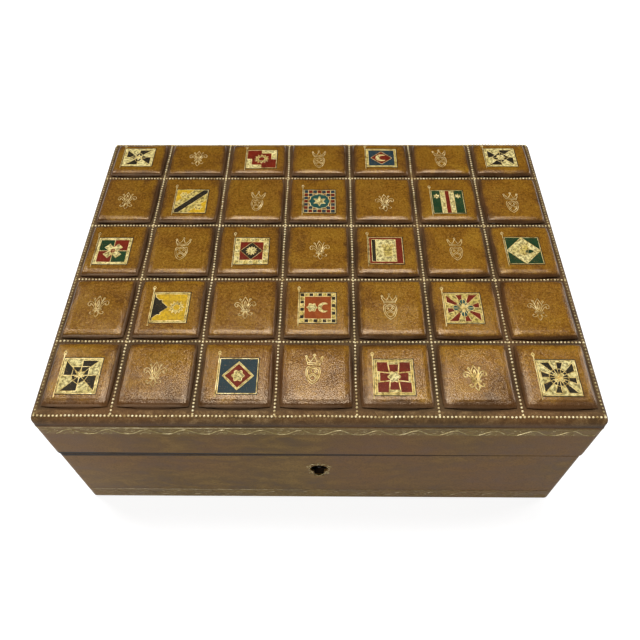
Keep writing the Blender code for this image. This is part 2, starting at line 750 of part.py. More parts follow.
# Moulded top
def valley_lines():
    """X of the upright valley lines and Y of the cross ones, from the left and from the front."""
    width = CASE_WIDTH - 2 * SIDE_MARGIN
    pitch_x = (width + LEFT_COLUMN_TRIM + RIGHT_COLUMN_TRIM) / COLUMNS
    xs = [-HALF_WIDTH + SIDE_MARGIN]
    for column in range(COLUMNS):
        trim = 0
        if column == 0:
            trim = LEFT_COLUMN_TRIM
        if column == COLUMNS - 1:
            trim = RIGHT_COLUMN_TRIM
        xs.append(xs[-1] + pitch_x - trim)
    depth = CASE_DEPTH - FRONT_MARGIN - BACK_MARGIN
    pitch_y = (depth - FRONT_ROW_EXTRA + BACK_ROW_TRIM) / ROWS
    ys = [-HALF_DEPTH + FRONT_MARGIN]
    for row in range(ROWS):
        change = 0
        if row == 0:
            change = FRONT_ROW_EXTRA
        if row == ROWS - 1:
            change = -BACK_ROW_TRIM
        ys.append(ys[-1] + pitch_y + change)
    return xs, ys


def pad_footprints():
    """Left, right, front and back of every pad's foot."""
    xs, ys = valley_lines()
    half = VALLEY_WIDTH / 2
    footprints = []
    for row, (y_low, y_high) in enumerate(zip(ys, ys[1:])):
        front = FRONT_STRIP if row == 0 else half
        for x_low, x_high in zip(xs, xs[1:]):
            footprints.append((x_low + half, x_high - half, y_low + front, y_high - half))
    return footprints


def eight_sided(footprint, inset, corner, z):
    """A footprint drawn in on all sides, with its four corners cut off."""
    left, right, front, back = footprint
    left += inset
    right -= inset
    front += inset
    back -= inset
    corners = (
        (right, front + corner), (right, back - corner),
        (right - corner, back), (left + corner, back),
        (left, back - corner), (left, front + corner),
        (left + corner, front), (right - corner, front),
    )
    return [Vector((x, y, z)) for x, y in corners]


def four_sided(footprint, inset, z):
    left, right, front, back = footprint
    corners = (
        (right - inset, front + inset), (right - inset, back - inset),
        (left + inset, back - inset), (left + inset, front + inset),
    )
    return [Vector((x, y, z)) for x, y in corners]


def wadding_inset(z, clearance):
    """How far inside a pad's foot the face of its wadding is, at a height."""
    top = VALLEY_HEIGHT + CROWN_RISE - LEATHER
    foot = VALLEY_HEIGHT - LEATHER
    run = CROWN_RUN - WADDING_INSET
    slant = math.hypot(run, top - foot) / (top - foot)
    return WADDING_INSET + run * (z - foot) / (top - foot) + clearance * slant


def skin_rows(bm, rows):
    """Faces between rows of vertices, each row one closed loop."""
    for lower, upper in zip(rows, rows[1:]):
        count = len(lower)
        for here in range(count):
            after = (here + 1) % count
            bm.faces.new((lower[here], lower[after], upper[after], upper[here]))


def add_rows(bm, loops):
    return [[bm.verts.new(point) for point in loop] for loop in loops]


def fill_between(bm, outer, holes):
    """Fill the flat region inside the outer loop and outside the holes."""
    edges = []
    for row in [outer, *holes]:
        for here in range(len(row)):
            edges.append(bm.edges.get((row[here], row[here - 1])))
    bmesh.ops.triangle_fill(bm, use_beauty=True, use_dissolve=False, edges=edges, normal=(0, 0, 1))


def edge_arc(radius, centre_inset, centre_z, steps):
    """Insets and heights along the rounded top edge, from the side up to the flat."""
    arc = []
    for step in range(steps + 1):
        angle = math.pi / 2 * step / steps
        arc.append((centre_inset - radius * math.cos(angle), centre_z + radius * math.sin(angle)))
    return arc


def make_lid_top_leather(leather, lid_axis):
    """The moulded cap: crowned pads outside, a pocket for the wadding under each, rounded edges."""
    bm = bmesh.new()
    top = VALLEY_HEIGHT
    under = VALLEY_HEIGHT - LEATHER
    skirt = VALLEY_HEIGHT - CAP_HEIGHT
    centre_z = VALLEY_HEIGHT - EDGE_ROUNDING
    corner = max(CORNER_RADIUS, EDGE_RADIUS_MIN)

    def outline(inset, z):
        radius = max(corner - inset, EDGE_RADIUS_MIN)
        return rounded_rect(HALF_WIDTH - inset, HALF_DEPTH - inset, radius, z, 3)

    outer_arc = edge_arc(EDGE_ROUNDING, EDGE_ROUNDING, centre_z, 3)
    inner_arc = edge_arc(EDGE_ROUNDING - LEATHER, EDGE_ROUNDING, centre_z, 2)
    loops = [outline(inset, z) for inset, z in reversed(outer_arc)]
    loops.append(outline(0, skirt))
    loops.append(outline(LEATHER, skirt))
    loops.extend(outline(inset, z) for inset, z in inner_arc)
    border = add_rows(bm, loops)
    skin_rows(bm, border)

    feet = []
    pockets = []
    for footprint in pad_footprints():
        pad = add_rows(bm, [
            eight_sided(footprint, 0, PAD_CORNER, top),
            eight_sided(footprint, SHOULDER_RUN, PAD_CORNER + SHOULDER_RUN / 2, top + SHOULDER_RISE),
            eight_sided(footprint, CROWN_RUN, CROWN_CORNER, top + CROWN_RISE),
        ])
        skin_rows(bm, pad)
        bm.faces.new(pad[-1])
        feet.append(pad[0])

        pocket_top = top + CROWN_RISE - LEATHER
        pocket = add_rows(bm, [
            four_sided(footprint, wadding_inset(under, 0), under),
            four_sided(footprint, wadding_inset(pocket_top, 0), pocket_top),
        ])
        skin_rows(bm, pocket)
        bm.faces.new(pocket[-1])
        pockets.append(pocket[0])

    fill_between(bm, border[0], feet)
    fill_between(bm, border[-1], pockets)
    smooth(place("lid_top_leather", finish_mesh("lid_top_leather", bm), leather, lid_axis))


def make_lid_padding(wadding, lid_axis):
    """A sheet with one raised block under each pad."""
    bm = bmesh.new()
    sheet_top = PADDING_Z + WADDING_SHEET
    block_top = VALLEY_HEIGHT + CROWN_RISE - LEATHER - SEAT
    radius = EDGE_ROUNDING - SKIN
    centre_z = VALLEY_HEIGHT - EDGE_ROUNDING

    def outline(z):
        """The sheet's edge follows the inside of the cap's rounded edge."""
        lift = max(z - centre_z, 0)
        inset = EDGE_ROUNDING - math.sqrt(max(radius ** 2 - lift ** 2, 0))
        corner = max(CORNER_RADIUS - inset, EDGE_RADIUS_MIN)
        return rounded_rect(HALF_WIDTH - inset, HALF_DEPTH - inset, corner, z, 2)

    border = add_rows(bm, [outline(sheet_top), outline(PADDING_Z)])
    skin_rows(bm, border)
    bm.faces.new(border[-1])
    feet = []
    for footprint in pad_footprints():
        rows = add_rows(bm, [
            four_sided(footprint, wadding_inset(sheet_top, SEAT), sheet_top),
            four_sided(footprint, wadding_inset(block_top, SEAT), block_top),
        ])
        skin_rows(bm, rows)
        bm.faces.new(rows[-1])
        feet.append(rows[0])
    fill_between(bm, border[0], feet)
    place("lid_padding", finish_mesh("lid_padding", bm), wadding, lid_axis)


# Hinges
def knuckle_spans():
    """Start and end of each knuckle along the axis, from the hinge's middle."""
    pitch = HINGE_LENGTH / KNUCKLES
    spans = []
    for number in range(KNUCKLES):
        start = -HINGE_LENGTH / 2 + number * pitch
        spans.append((start + KNUCKLE_GAP / 2, start + pitch - KNUCKLE_GAP / 2))
    return spans


def make_leaf_mesh(name, owned, up, brass):
    """One hinge leaf about the axis. owned is 0 for the odd knuckles and 1 for the even ones."""
    spans = knuckle_spans()
    back = -hinge_plate_edge()
    front = -hinge_reach()
    outline = [(-HINGE_LENGTH / 2, front), (HINGE_LENGTH / 2, front), (HINGE_LENGTH / 2, back)]
    for number in reversed(range(KNUCKLES)):
        if number % 2 == owned:
            start = spans[number][0] + KNUCKLE_GAP / 2
            end = spans[number][1] - KNUCKLE_GAP / 2
            outline.extend(((end, back), (end, 0), (start, 0), (start, back)))
    outline.append((-HINGE_LENGTH / 2, back))
    near = -up * PARTING_GAP / 2
    far = near - up * HINGE_LEAF
    bm = prism(outline, "Z", min(near, far), max(near, far))
    leaf = place(name, finish_mesh(name, bm), brass)
    lying = Matrix.Rotation(math.pi / 2, 4, "Y")

    barrels = []
    for number, (start, end) in enumerate(spans):
        if number % 2 == owned:
            barrel = turned(lathe([(BARREL_RADIUS, start), (BARREL_RADIUS, end)], ROUND_SIDES), lying)
            barrels.append(cutter(f"{name}_barrel_{number}", barrel))
    carve(leaf, barrels, "UNION")

    bore_radius = PIN_RADIUS + PIN_CLEARANCE
    reach = HINGE_LENGTH / 2 + OVERRUN
    cutters = [cutter("bore", turned(lathe([(bore_radius, -reach), (bore_radius, reach)], PIN_SIDES), lying))]
    matrix = DOWN if up > 0 else UP
    for number, (along, across) in enumerate(hinge_screw_spots()):
        spot = Vector((along, across, near))
        cutters.append(screw_hole(f"leaf_hole_{number}", spot, matrix, HINGE_LEAF + OVERRUN))
    carve(leaf, cutters)
    smooth(leaf)
    mesh = leaf.data
    bpy.data.objects.remove(leaf, do_unlink=True)
    return mesh


def make_hinges(brass, screw_mesh, lid_axis):
    base_leaf = make_leaf_mesh("hinge_base_leaf", 0, 1, brass)
    lid_leaf = make_leaf_mesh("hinge_lid_leaf", 1, -1, brass)
    half = HINGE_LENGTH / 2 - KNUCKLE_GAP / 2
    crown = PIN_RADIUS / 2
    pin_profile = [(crown, -half), (PIN_RADIUS, -half + PIN_HEAD), (PIN_RADIUS, half - PIN_HEAD), (crown, half)]
    pin_mesh = finish_mesh("hinge_pin", lathe(pin_profile, PIN_SIDES))
    for side, middle in hinge_middles():
        centre = Vector((middle, HINGE_Y, HINGE_Z))
        place(f"{side}_hinge_base_leaf", base_leaf, brass, None, centre)
        place(f"{side}_hinge_lid_leaf", lid_leaf, brass, lid_axis, centre)
        pin = place(f"{side}_hinge_pin", pin_mesh, brass, None, centre, (0, math.pi / 2, 0))
        smooth(pin)
        for number, (along, across) in enumerate(hinge_screw_spots(), start=1):
            spot = centre + Vector((along, across, 0))
            lift = Vector((0, 0, PARTING_GAP / 2))
            place(f"{side}_hinge_base_screw_{number}", screw_mesh, brass, None, spot - lift)
            place(f"{side}_hinge_lid_screw_{number}", screw_mesh, brass, lid_axis, spot + lift, (math.pi, 0, 0))


# Lock
def eye_middles():
    return (-EYE_SPACING / 2, EYE_SPACING / 2)


def make_lock_plate(brass):
    """Back plate and rim plate, bent from one strip."""
    rim = BASE_RIM_HEIGHT
    outline = [
        (FRONT_BOARD_IN_Y, LOCK_FOOT_Z),
        (FRONT_BOARD_IN_Y, rim),
        (FRONT_BOARD_IN_Y - SELVEDGE_DEPTH, rim),
        (FRONT_BOARD_IN_Y - SELVEDGE_DEPTH, rim - LOCK_PLATE),
        (LOCK_FACE_Y, rim - LOCK_PLATE),
        (LOCK_FACE_Y, LOCK_FOOT_Z),
    ]
    bm = prism(outline, "X", -LOCK_WIDTH / 2, LOCK_WIDTH / 2)
    plate = place("lock_plate", finish_mesh("lock_plate", bm), brass)
    cutters = []
    for number, middle in enumerate(eye_middles()):
        half = EYE_PLATE / 2 + BOLT_APPROACH
        cutters.append(cutter(f"eye_slot_{number}", block(
            (middle - half, CASE_HOLLOW_Y, rim - LOCK_PLATE - OVERRUN),
            (middle + half, CASE_BACK_Y, rim + OVERRUN),
        )))
    for number, (spot, matrix) in enumerate(lock_screw_spots()):
        cutters.append(screw_hole(f"plate_hole_{number}", spot, matrix, LOCK_PLATE + OVERRUN))
    carve(plate, cutters)


def make_lock_case(brass):
    """The cap over the bolt, open behind and above, with its own smaller keyhole."""
    half = LOCK_CASE_WIDTH / 2
    top = BASE_RIM_HEIGHT - LOCK_PLATE - SEAT
    bm = block((-half, CASE_FRONT_Y, CASE_FOOT_Z), (half, CASE_BACK_Y, top))
    case = place("lock_case", finish_mesh("lock_case", bm), brass)
    wall = LOCK_CASE_WALL
    hollow = cutter("case_hollow", block(
        (-half + wall, CASE_HOLLOW_Y, CASE_FOOT_Z + wall),
        (half - wall, CASE_BACK_Y + OVERRUN, top + OVERRUN),
    ))
    length = KEYHOLE_LENGTH - KEYHOLE_RADIUS + CASE_HOLE_RADIUS - LOCK_CASE_FOOT
    hole = keyhole_cutter(
        "case_keyhole", CASE_HOLE_RADIUS, CASE_SLOT_WIDTH, length,
        CASE_FRONT_Y - OVERRUN, CASE_HOLLOW_Y + LOCK_CASE_WALL / 2,
    )
    carve(case, [hollow, hole])


def make_lock_pins(steel, brass):
    """The drill pin in the keyhole and the stud that guides the bolt, both set in the back plate."""
    length = CASE_BACK_Y - (FRONT_FACE_Y + DRILL_PIN_SETBACK)
    nose = DRILL_PIN_RADIUS / 2
    profile = [(DRILL_PIN_RADIUS, 0), (DRILL_PIN_RADIUS, length - nose), (nose, length)]
    mesh = finish_mesh("lock_drill_pin", lathe(profile, SCREW_SIDES))
    turn = (math.pi / 2, 0, 0)
    smooth(place("lock_drill_pin", mesh, steel, None, (0, CASE_BACK_Y, PIN_Z), turn))

    bolt_front = BOLT_Y - BOLT_THICKNESS / 2
    shank = CASE_BACK_Y - bolt_front + STUD_CLEARANCE
    profile = [
        (STUD_RADIUS, 0), (STUD_RADIUS, shank),
        (STUD_HEAD_RADIUS, shank), (STUD_HEAD_RADIUS, shank + STUD_HEAD),
    ]
    mesh = finish_mesh("lock_bolt_stud", lathe(profile, SCREW_SIDES))
    smooth(place("lock_bolt_stud", mesh, brass, None, (STUD_OFFSET, CASE_BACK_Y, BAR_MID), turn))


def make_lock_bolt(steel, bolt_axis):
    """The sliding bolt: a bar with two hooked fingers and the talon that the key pushes."""
    finger_low = EYE_HOLE_MID - BOLT_FINGER / 2
    finger_high = EYE_HOLE_MID + BOLT_FINGER / 2
    talon_mid = -BOLT_TRAVEL / 2
    tips = []
    posts = []
    for middle in eye_middles():
        tip = middle - EYE_PLATE / 2 - BOLT_APPROACH
        tips.append(tip)
        posts.append(tip - BOLT_TRAVEL + BOLT_APPROACH - SEAT)
    left_end = posts[0] - BOLT_POST
    outline = [
        (left_end, BAR_FOOT),
        (talon_mid - TALON_WIDTH / 2, BAR_FOOT),
        (talon_mid - TALON_WIDTH / 3, BAR_FOOT + TALON_DEPTH),
        (talon_mid + TALON_WIDTH / 3, BAR_FOOT + TALON_DEPTH),
        (talon_mid + TALON_WIDTH / 2, BAR_FOOT),
        (tips[1] + BOLT_POST, BAR_FOOT),
        (tips[1] + BOLT_POST, BAR_TOP),
    ]
    for tip, post in zip(reversed(tips), reversed(posts)):
        outline.extend((
            (post, BAR_TOP), (post, finger_low), (tip, finger_low), (tip, finger_high),
            (post - BOLT_POST, finger_high), (post - BOLT_POST, BAR_TOP),
        ))
    outline.pop()
    half = BOLT_THICKNESS / 2
    bm = prism(outline, "Y", BOLT_Y - half, BOLT_Y + half)
    bolt = place("lock_bolt", finish_mesh("lock_bolt", bm), steel, bolt_axis)
    reach = STUD_RADIUS + STUD_CLEARANCE
    slot = cutter("stud_slot", block(
        (STUD_OFFSET - BOLT_TRAVEL - reach, BOLT_Y - half - OVERRUN, BAR_MID - reach),
        (STUD_OFFSET + reach, BOLT_Y + half + OVERRUN, BAR_MID + reach),
    ))
    carve(bolt, [slot])


def make_lock_spring(steel):
    """A bent leaf spring, fixed in the case's corner, whose free end rubs under the bar."""
    right = LOCK_CASE_WIDTH / 2 - LOCK_CASE_WALL - SEAT
    top = BAR_FOOT - SEAT
    thick = SPRING_THICKNESS
    outline = [
        (right, top - SPRING_DROP),
        (right, top - SPRING_DROP / 3),
        (right - SPRING_REACH, top),
        (right - SPRING_REACH - thick, top),
        (right - SPRING_REACH - thick, top - thick),
        (right - SPRING_REACH, top - thick),
        (right - thick, top - SPRING_DROP / 3 - thick),
        (right - thick, top - SPRING_DROP),
    ]
    half = SPRING_WIDTH / 2
    bm = prism(outline, "Y", BOLT_Y - half, BOLT_Y + half)
    place("lock_spring", finish_mesh("lock_spring", bm), steel)


def link_screw_spots():
    """Places of the two screws that hold the link plate under the lid's front rail."""
    across = LOCK_WIDTH / 2 - LOCK_SCREW_EDGE
    y = FRONT_BOARD_IN_Y - SELVEDGE_DEPTH / 2
    return [Vector((sign * across, y, LID_RIM_HEIGHT)) for sign in (-1, 1)]


def make_link_plate(brass, lid_axis):
    """The plate under the lid's front rail, with the two eyes that the bolt's fingers enter."""
    rim = LID_RIM_HEIGHT
    half = LOCK_WIDTH / 2
    low = (-half, FRONT_BOARD_IN_Y - SELVEDGE_DEPTH, rim)
    high = (half, FRONT_BOARD_IN_Y - HINGE_EDGE_MARGIN, rim + LEATHER)
    plate = place("lock_link_plate", finish_mesh("lock_link_plate", block(low, high)), brass, lid_axis)

    bend = EYE_WIDTH / 2
    round_steps = CORNER_STEPS * 2
    outline = [(BOLT_Y + bend, rim + LEATHER / 2), (BOLT_Y - bend, rim + LEATHER / 2)]
    for step in range(round_steps + 1):
        angle = math.pi + math.pi * step / round_steps
        outline.append((BOLT_Y + bend * math.cos(angle), EYE_FOOT_Z + bend * (1 + math.sin(angle))))
    eyes = []
    holes = []
    for number, middle in enumerate(eye_middles()):
        start = middle - EYE_PLATE / 2
        end = middle + EYE_PLATE / 2
        eyes.append(cutter(f"eye_{number}", prism(outline, "X", start, end)))
        holes.append(cutter(f"eye_hole_{number}", block(
            (start - OVERRUN, BOLT_Y - EYE_HOLE_WIDTH / 2, EYE_HOLE_FOOT),
            (end + OVERRUN, BOLT_Y + EYE_HOLE_WIDTH / 2, EYE_HOLE_FOOT + EYE_HOLE_HEIGHT),
        )))
    for number, spot in enumerate(link_screw_spots()):
        holes.append(screw_hole(f"link_hole_{number}", spot, UP, LEATHER + OVERRUN))
    carve(plate, eyes, "UNION")
    carve(plate, holes)


def make_lock_screws(brass, screw_mesh, lid_axis):
    names = ("lock_rim_screw_1", "lock_rim_screw_2", "lock_plate_screw_1", "lock_plate_screw_2")
    for name, (spot, matrix) in zip(names, lock_screw_spots()):
        place(name, screw_mesh, brass, None, spot, matrix.to_euler())
    for number, spot in enumerate(link_screw_spots(), start=1):
        place(f"link_plate_screw_{number}", screw_mesh, brass, lid_axis, spot, UP.to_euler())


def build():
    clear_scene()
    tooled = make_material("tooled_leather", (0.33, 0.15, 0.05), 0.42)
    side = make_material("side_leather", (0.16, 0.11, 0.07), 0.5)
    suede = make_material("underside_suede", (0.10, 0.06, 0.04), 0.9)
    wood = make_material("carcass_wood", (0.55, 0.38, 0.22), 0.6)
    cloth = make_material("lining_silk", (0.30, 0.05, 0.05), 0.55)
    wadding = make_material("wadding", (0.75, 0.70, 0.60), 0.95)
    brass = make_material("brass", (0.72, 0.53, 0.23), 0.3, 1.0)
    steel = make_material("steel", (0.50, 0.50, 0.50), 0.35, 1.0)

    lid_axis = make_axis("lid_hinge_axis", (0, HINGE_Y, HINGE_Z))
    bolt_axis = make_axis("lock_bolt_axis", (0, BOLT_Y, BAR_MID))

    make_base_boards(wood)
    make_base_front_board(wood)
    make_base_leather(side)
    make_underside_cover(suede)
    make_lid_boards(wood, lid_axis)
    make_lid_side_leather(side, lid_axis)
    make_lid_padding(wadding, lid_axis)
    make_lid_top_leather(tooled, lid_axis)
    make_linings(cloth, lid_axis)

    screw_mesh = make_screw_mesh(brass)
    make_hinges(brass, screw_mesh, lid_axis)
    make_lock_plate(brass)
    make_lock_case(brass)
    make_lock_pins(steel, brass)
    make_lock_bolt(steel, bolt_axis)
    make_lock_spring(steel)
    make_link_plate(brass, lid_axis)
    make_lock_screws(brass, screw_mesh, lid_axis)


build()
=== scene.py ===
# %% [markdown]
# # A leather-covered jewelry casket
#
# The casket is a wooden box covered in leather. The top of its lid is moulded into rows of small
# padded squares, with a line of gilt dots in each valley between them. Little painted flags and gilt
# ornaments are tooled on the pads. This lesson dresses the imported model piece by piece: the moulded
# top, the gilding, the flags, the linings and the metal.

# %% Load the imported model
import json
import math
import random

import bmesh
import bpy
from mathutils import Matrix, Vector

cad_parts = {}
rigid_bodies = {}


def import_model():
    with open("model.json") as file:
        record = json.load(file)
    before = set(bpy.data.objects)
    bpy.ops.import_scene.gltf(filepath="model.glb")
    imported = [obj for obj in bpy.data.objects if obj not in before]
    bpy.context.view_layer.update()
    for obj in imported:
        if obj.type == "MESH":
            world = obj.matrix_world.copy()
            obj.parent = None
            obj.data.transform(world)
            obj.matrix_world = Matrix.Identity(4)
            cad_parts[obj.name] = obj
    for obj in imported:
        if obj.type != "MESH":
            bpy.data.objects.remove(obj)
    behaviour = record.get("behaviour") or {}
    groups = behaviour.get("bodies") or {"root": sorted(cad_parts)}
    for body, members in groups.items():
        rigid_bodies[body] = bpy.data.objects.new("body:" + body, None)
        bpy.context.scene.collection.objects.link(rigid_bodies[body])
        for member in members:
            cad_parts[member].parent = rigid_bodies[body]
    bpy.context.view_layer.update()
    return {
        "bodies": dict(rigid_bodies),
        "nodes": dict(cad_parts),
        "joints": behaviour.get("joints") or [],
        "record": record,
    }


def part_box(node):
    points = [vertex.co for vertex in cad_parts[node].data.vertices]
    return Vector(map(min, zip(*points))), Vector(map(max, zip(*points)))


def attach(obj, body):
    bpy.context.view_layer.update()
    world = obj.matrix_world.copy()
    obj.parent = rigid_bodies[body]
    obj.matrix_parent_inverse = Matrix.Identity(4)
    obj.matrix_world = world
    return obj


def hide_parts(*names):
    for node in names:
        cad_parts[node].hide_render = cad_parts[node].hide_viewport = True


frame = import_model()

# %% [markdown]
# ## Sizes that the looks follow
#
# Every size is in metres. The outer sizes are read from the frame, so that the looks follow the
# construction. The valley lines are where the leather is drawn down between the pads. The outer
# columns are a little narrower, the front row a little deeper and the back row shallower, because
# the maker laid the squares out by hand.

# %% Sizes of the lid top
top_low, top_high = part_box("lid_top_leather")
half_width = top_high[0]
half_depth = top_high[1]
skirt_z = top_low[2]
hair = 0.0001
crown_rise = 0.0034
valley_z = top_high[2] - crown_rise
edge_rounding = 0.0030
front_sinks = ((0.0103, 0.95), (0.0071, 0.95), (0.0043, 0.90), (0.0032, 0.94))
columns = 7
rows = 5
side_margin = 0.0023
front_margin = 0.0024
back_margin = 0.0023
column_trims = {0: 0.00245, columns - 1: 0.00065}
row_changes = {0: 0.0008, rows - 1: -0.0075}
valley_half = 0.0009
front_valley_half = 0.0005
front_strip = 0.0028
parting_z = (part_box("lid_side_leather")[0][2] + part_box("base_leather")[1][2]) / 2


def valley_lines():
    """X of the upright valleys from the left, and Y of the cross ones from the front."""
    width = 2 * half_width - 2 * side_margin
    pitch_x = (width + sum(column_trims.values())) / columns
    xs = [-half_width + side_margin]
    for column in range(columns):
        xs.append(xs[-1] + pitch_x - column_trims.get(column, 0))
    depth = 2 * half_depth - front_margin - back_margin
    pitch_y = (depth - sum(row_changes.values())) / rows
    ys = [-half_depth + front_margin]
    for row in range(rows):
        ys.append(ys[-1] + pitch_y + row_changes.get(row, 0))
    return xs, ys


valley_xs, valley_ys = valley_lines()
print("columns at", [round(x * 1000, 1) for x in valley_xs])
print("rows at", [round(y * 1000, 1) for y in valley_ys])

# %% [markdown]
# ## The camera
#
# The photograph was taken from above the front edge with a moderately wide lens. The camera's place
# was solved from the casket's own edges, so that a render and the photograph can be laid over each
# other. The small shift is how the picture was cropped.

# %% Camera
bpy.ops.object.select_all(action="DESELECT")
camera_place = (0.003625, -0.205821, 0.350838)
camera_turn = [math.radians(angle) for angle in (38.575, 0.417, 0.449)]
bpy.ops.object.camera_add(location=camera_place, rotation=camera_turn)
camera = bpy.context.object
camera.name = "casket_camera"
camera.data.lens = 35.53
camera.data.sensor_width = 36
camera.data.shift_y = -0.0860
camera.data.clip_start = 0.01
bpy.context.scene.camera = camera
print("camera", round(Vector(camera_place).length * 1000), "mm from the middle of the foot")

# %% [markdown]
# ## Helpers for materials
#
# A material here is a small net of nodes. These helpers add the nodes that come back in most of
# them: a noise, a ramp from values to colours, a stretch of a value's range, a mix and a bump. They
# could be functions that are handed the net each time. A class keeps the net in one place, so that a
# recipe reads as a list of steps. Each call returns the socket that the next one reads.

# %% Node helpers
class Net:
    """The nodes of a material or a world."""

    def __init__(self, owner):
        owner.use_nodes = True
        self.nodes = owner.node_tree.nodes
        self.links = owner.node_tree.links

    def feed(self, socket, given):
        """Give a socket another socket, a number, a vector or a colour."""
        if isinstance(given, bpy.types.NodeSocket):
            self.links.new(given, socket)
        else:
            socket.default_value = (*given, 1.0) if socket.type == "RGBA" else given

    def set(self, name, given):
        """Feed one of the shader's own sockets."""
        self.feed(self.nodes["Principled BSDF"].inputs[name], given)

    def surface(self, colour, roughness, normal=None, specular=None, tint=None):
        """Feed what nearly every material sets on its shader."""
        named = (("Base Color", colour), ("Roughness", roughness), ("Normal", normal),
                 ("Specular IOR Level", specular), ("Specular Tint", tint))
        for name, given in named:
            if given is not None:
                self.set(name, given)

    def add(self, kind, *inputs, **settings):
        """A new node, its settings, and what it is fed: pairs of an input and a value."""
        node = self.nodes.new("ShaderNode" + kind)
        for name, value in settings.items():
            setattr(node, name, value)
        for name, given in inputs:
            self.feed(node.inputs[name], given)
        return node

    def coords(self, kind="Object"):
        return self.add("TexCoord").outputs[kind]

    def axes(self, coords):
        """X, Y and Z of some coordinates."""
        return self.add("SeparateXYZ", ("Vector", coords)).outputs[:]

    def stretched(self, coords, scale):
        """Coordinates that run faster or slower along each axis."""
        return self.add("Mapping", ("Vector", coords), ("Scale", scale)).outputs["Vector"]

    def noise(self, coords, scale, detail=4.0, roughness=0.55, distortion=0.0):
        """A noise pattern. The scale is in cells per metre."""
        return self.add("TexNoise", ("Vector", coords), ("Scale", scale), ("Detail", detail),
                        ("Roughness", roughness), ("Distortion", distortion)).outputs["Fac"]

    def pebbles(self, coords, scale):
        """Leather grain: 0 in the creases between pebbles, rising to the middle of each."""
        return self.add("TexVoronoi", ("Vector", coords), ("Scale", scale),
                        feature="DISTANCE_TO_EDGE").outputs["Distance"]

    def ramp(self, value, *stops):
        """Turn a value into colours. Each stop is a position and a colour."""
        node = self.add("ValToRGB", ("Fac", value))
        elements = node.color_ramp.elements
        while len(elements) < len(stops):
            elements.new(0.5)
        for element, (position, colour) in zip(elements, stops):
            element.position = position
            element.color = (*colour, 1.0)
        return node.outputs["Color"]

    def span(self, value, low, high, out_low=0.0, out_high=1.0):
        """Stretch a value from one range to another, and clamp it."""
        return self.add("MapRange", ("Value", value), ("From Min", low), ("From Max", high),
                        ("To Min", out_low), ("To Max", out_high)).outputs["Result"]

    def mix(self, factor, first, second, blend="MIX"):
        """Mix two colours, each a socket or a plain colour."""
        return self.add("Mix", (0, factor), (6, first), (7, second),
                        data_type="RGBA", blend_type=blend).outputs[2]

    def calc(self, operation, first, second=0.0):
        """One step of arithmetic on sockets or plain numbers."""
        return self.add("Math", (0, first), (1, second), operation=operation).outputs["Value"]

    def times(self, first, second):
        return self.calc("MULTIPLY", first, second)

    def bump(self, height, strength, distance, *below):
        """A bump from a height, which may lie over another bump."""
        return self.add("Bump", ("Height", height), ("Strength", strength), ("Distance", distance),
                        *[("Normal", normal) for normal in below]).outputs["Normal"]


def new_material(name):
    """A material with only its shader and its output, and its net."""
    print("material", name)
    material = bpy.data.materials.new(name)
    return material, Net(material)


# %% [markdown]
# ## Floor and light
#
# The casket stands on a plain white sheet. A white floor would need so much light that the leather
# pales. So the floor is a grey that takes the casket's shadow, and it has a glow of its own, which
# only the camera and mirrored rays see. The glow is whole further out, where the lamps reach less.

# %% Floor
def sight(net):
    """Whether the camera sees a ray, straight or through a clear piece, and whether it is mirrored."""
    ray = net.add("LightPath").outputs
    return net.calc("MAXIMUM", ray["Is Camera Ray"], ray["Is Transmission Ray"]), ray["Is Glossy Ray"]


bpy.ops.mesh.primitive_plane_add(size=6.0, location=(0, 0, 0))
floor = bpy.context.object
floor.name = "floor"
floor_paper, net = new_material("floor_paper")
net.surface((0.34, 0.34, 0.34), 0.9, specular=0.1)
seen = net.calc("MAXIMUM", *sight(net))
from_middle = net.add("VectorMath", (0, net.coords()), operation="LENGTH").outputs["Value"]
steady = net.span(from_middle, 0.5, 1.5, 0.87, 1.0)
glow = net.add("Emission", ("Strength", net.times(seen, steady)))
paper = net.nodes["Principled BSDF"].outputs["BSDF"]
total = net.add("AddShader", (0, paper), (1, glow.outputs["Emission"]))
net.feed(net.nodes["Material Output"].inputs["Surface"], total.outputs["Shader"])
floor.data.materials.append(floor_paper)

# %% [markdown]
# Four soft lamps light the casket: a strong one overhead and behind, which makes the sheen along the
# front shoulder of each pad, one low at the front, and weaker ones at the left and the right. They
# are area lamps, because a sun or a bare point would give hard shadows. The sky looks white, but it
# lights and mirrors only faintly, so that the leather keeps its depth.

# %% Lamps and surroundings
def soft_light(name, place, target, width, height, power):
    """A rectangular lamp that faces a point."""
    bpy.ops.object.light_add(type="AREA", location=place)
    lamp = bpy.context.object
    lamp.name = name
    lamp.data.shape = "RECTANGLE"
    lamp.data.size = width
    lamp.data.size_y = height
    lamp.data.energy = power
    lamp.rotation_euler = (Vector(target) - Vector(place)).to_track_quat("-Z", "Y").to_euler()
    print(name, power, "W")


soft_light("light_overhead", (-0.03, 0.16, 1.14), (0, 0, 0.1), 0.72, 0.24, 11.8)
soft_light("light_front", (-0.5, -1.3, 0.45), (0, 0, 0.05), 0.7, 0.7, 9.0)
soft_light("light_left", (-0.78, 0.35, 0.85), (0, 0, 0.1), 0.25, 0.25, 3.0)
soft_light("light_right", (0.95, 0.30, 0.45), (0, 0, 0.05), 0.4, 0.4, 4.0)

faint = 0.03
world = bpy.data.worlds.new("studio")
bpy.context.scene.world = world
net = Net(world)
sky = net.nodes["Background"]
net.feed(sky.inputs["Color"], (1, 1, 1))
straight, mirrored_sky = sight(net)
seen = net.calc("MAXIMUM", straight, net.times(mirrored_sky, faint))
net.feed(sky.inputs["Strength"], net.span(seen, 0.0, 1.0, faint, 1.0))
bpy.context.scene.view_settings.view_transform = "Standard"

# %% [markdown]
# ## Helpers for modelling
#
# Each piece starts as a primitive and is shaped in edit mode. An operator acts on all that is
# selected, so these helpers deselect everything first, and then pick faces or edges by their place.

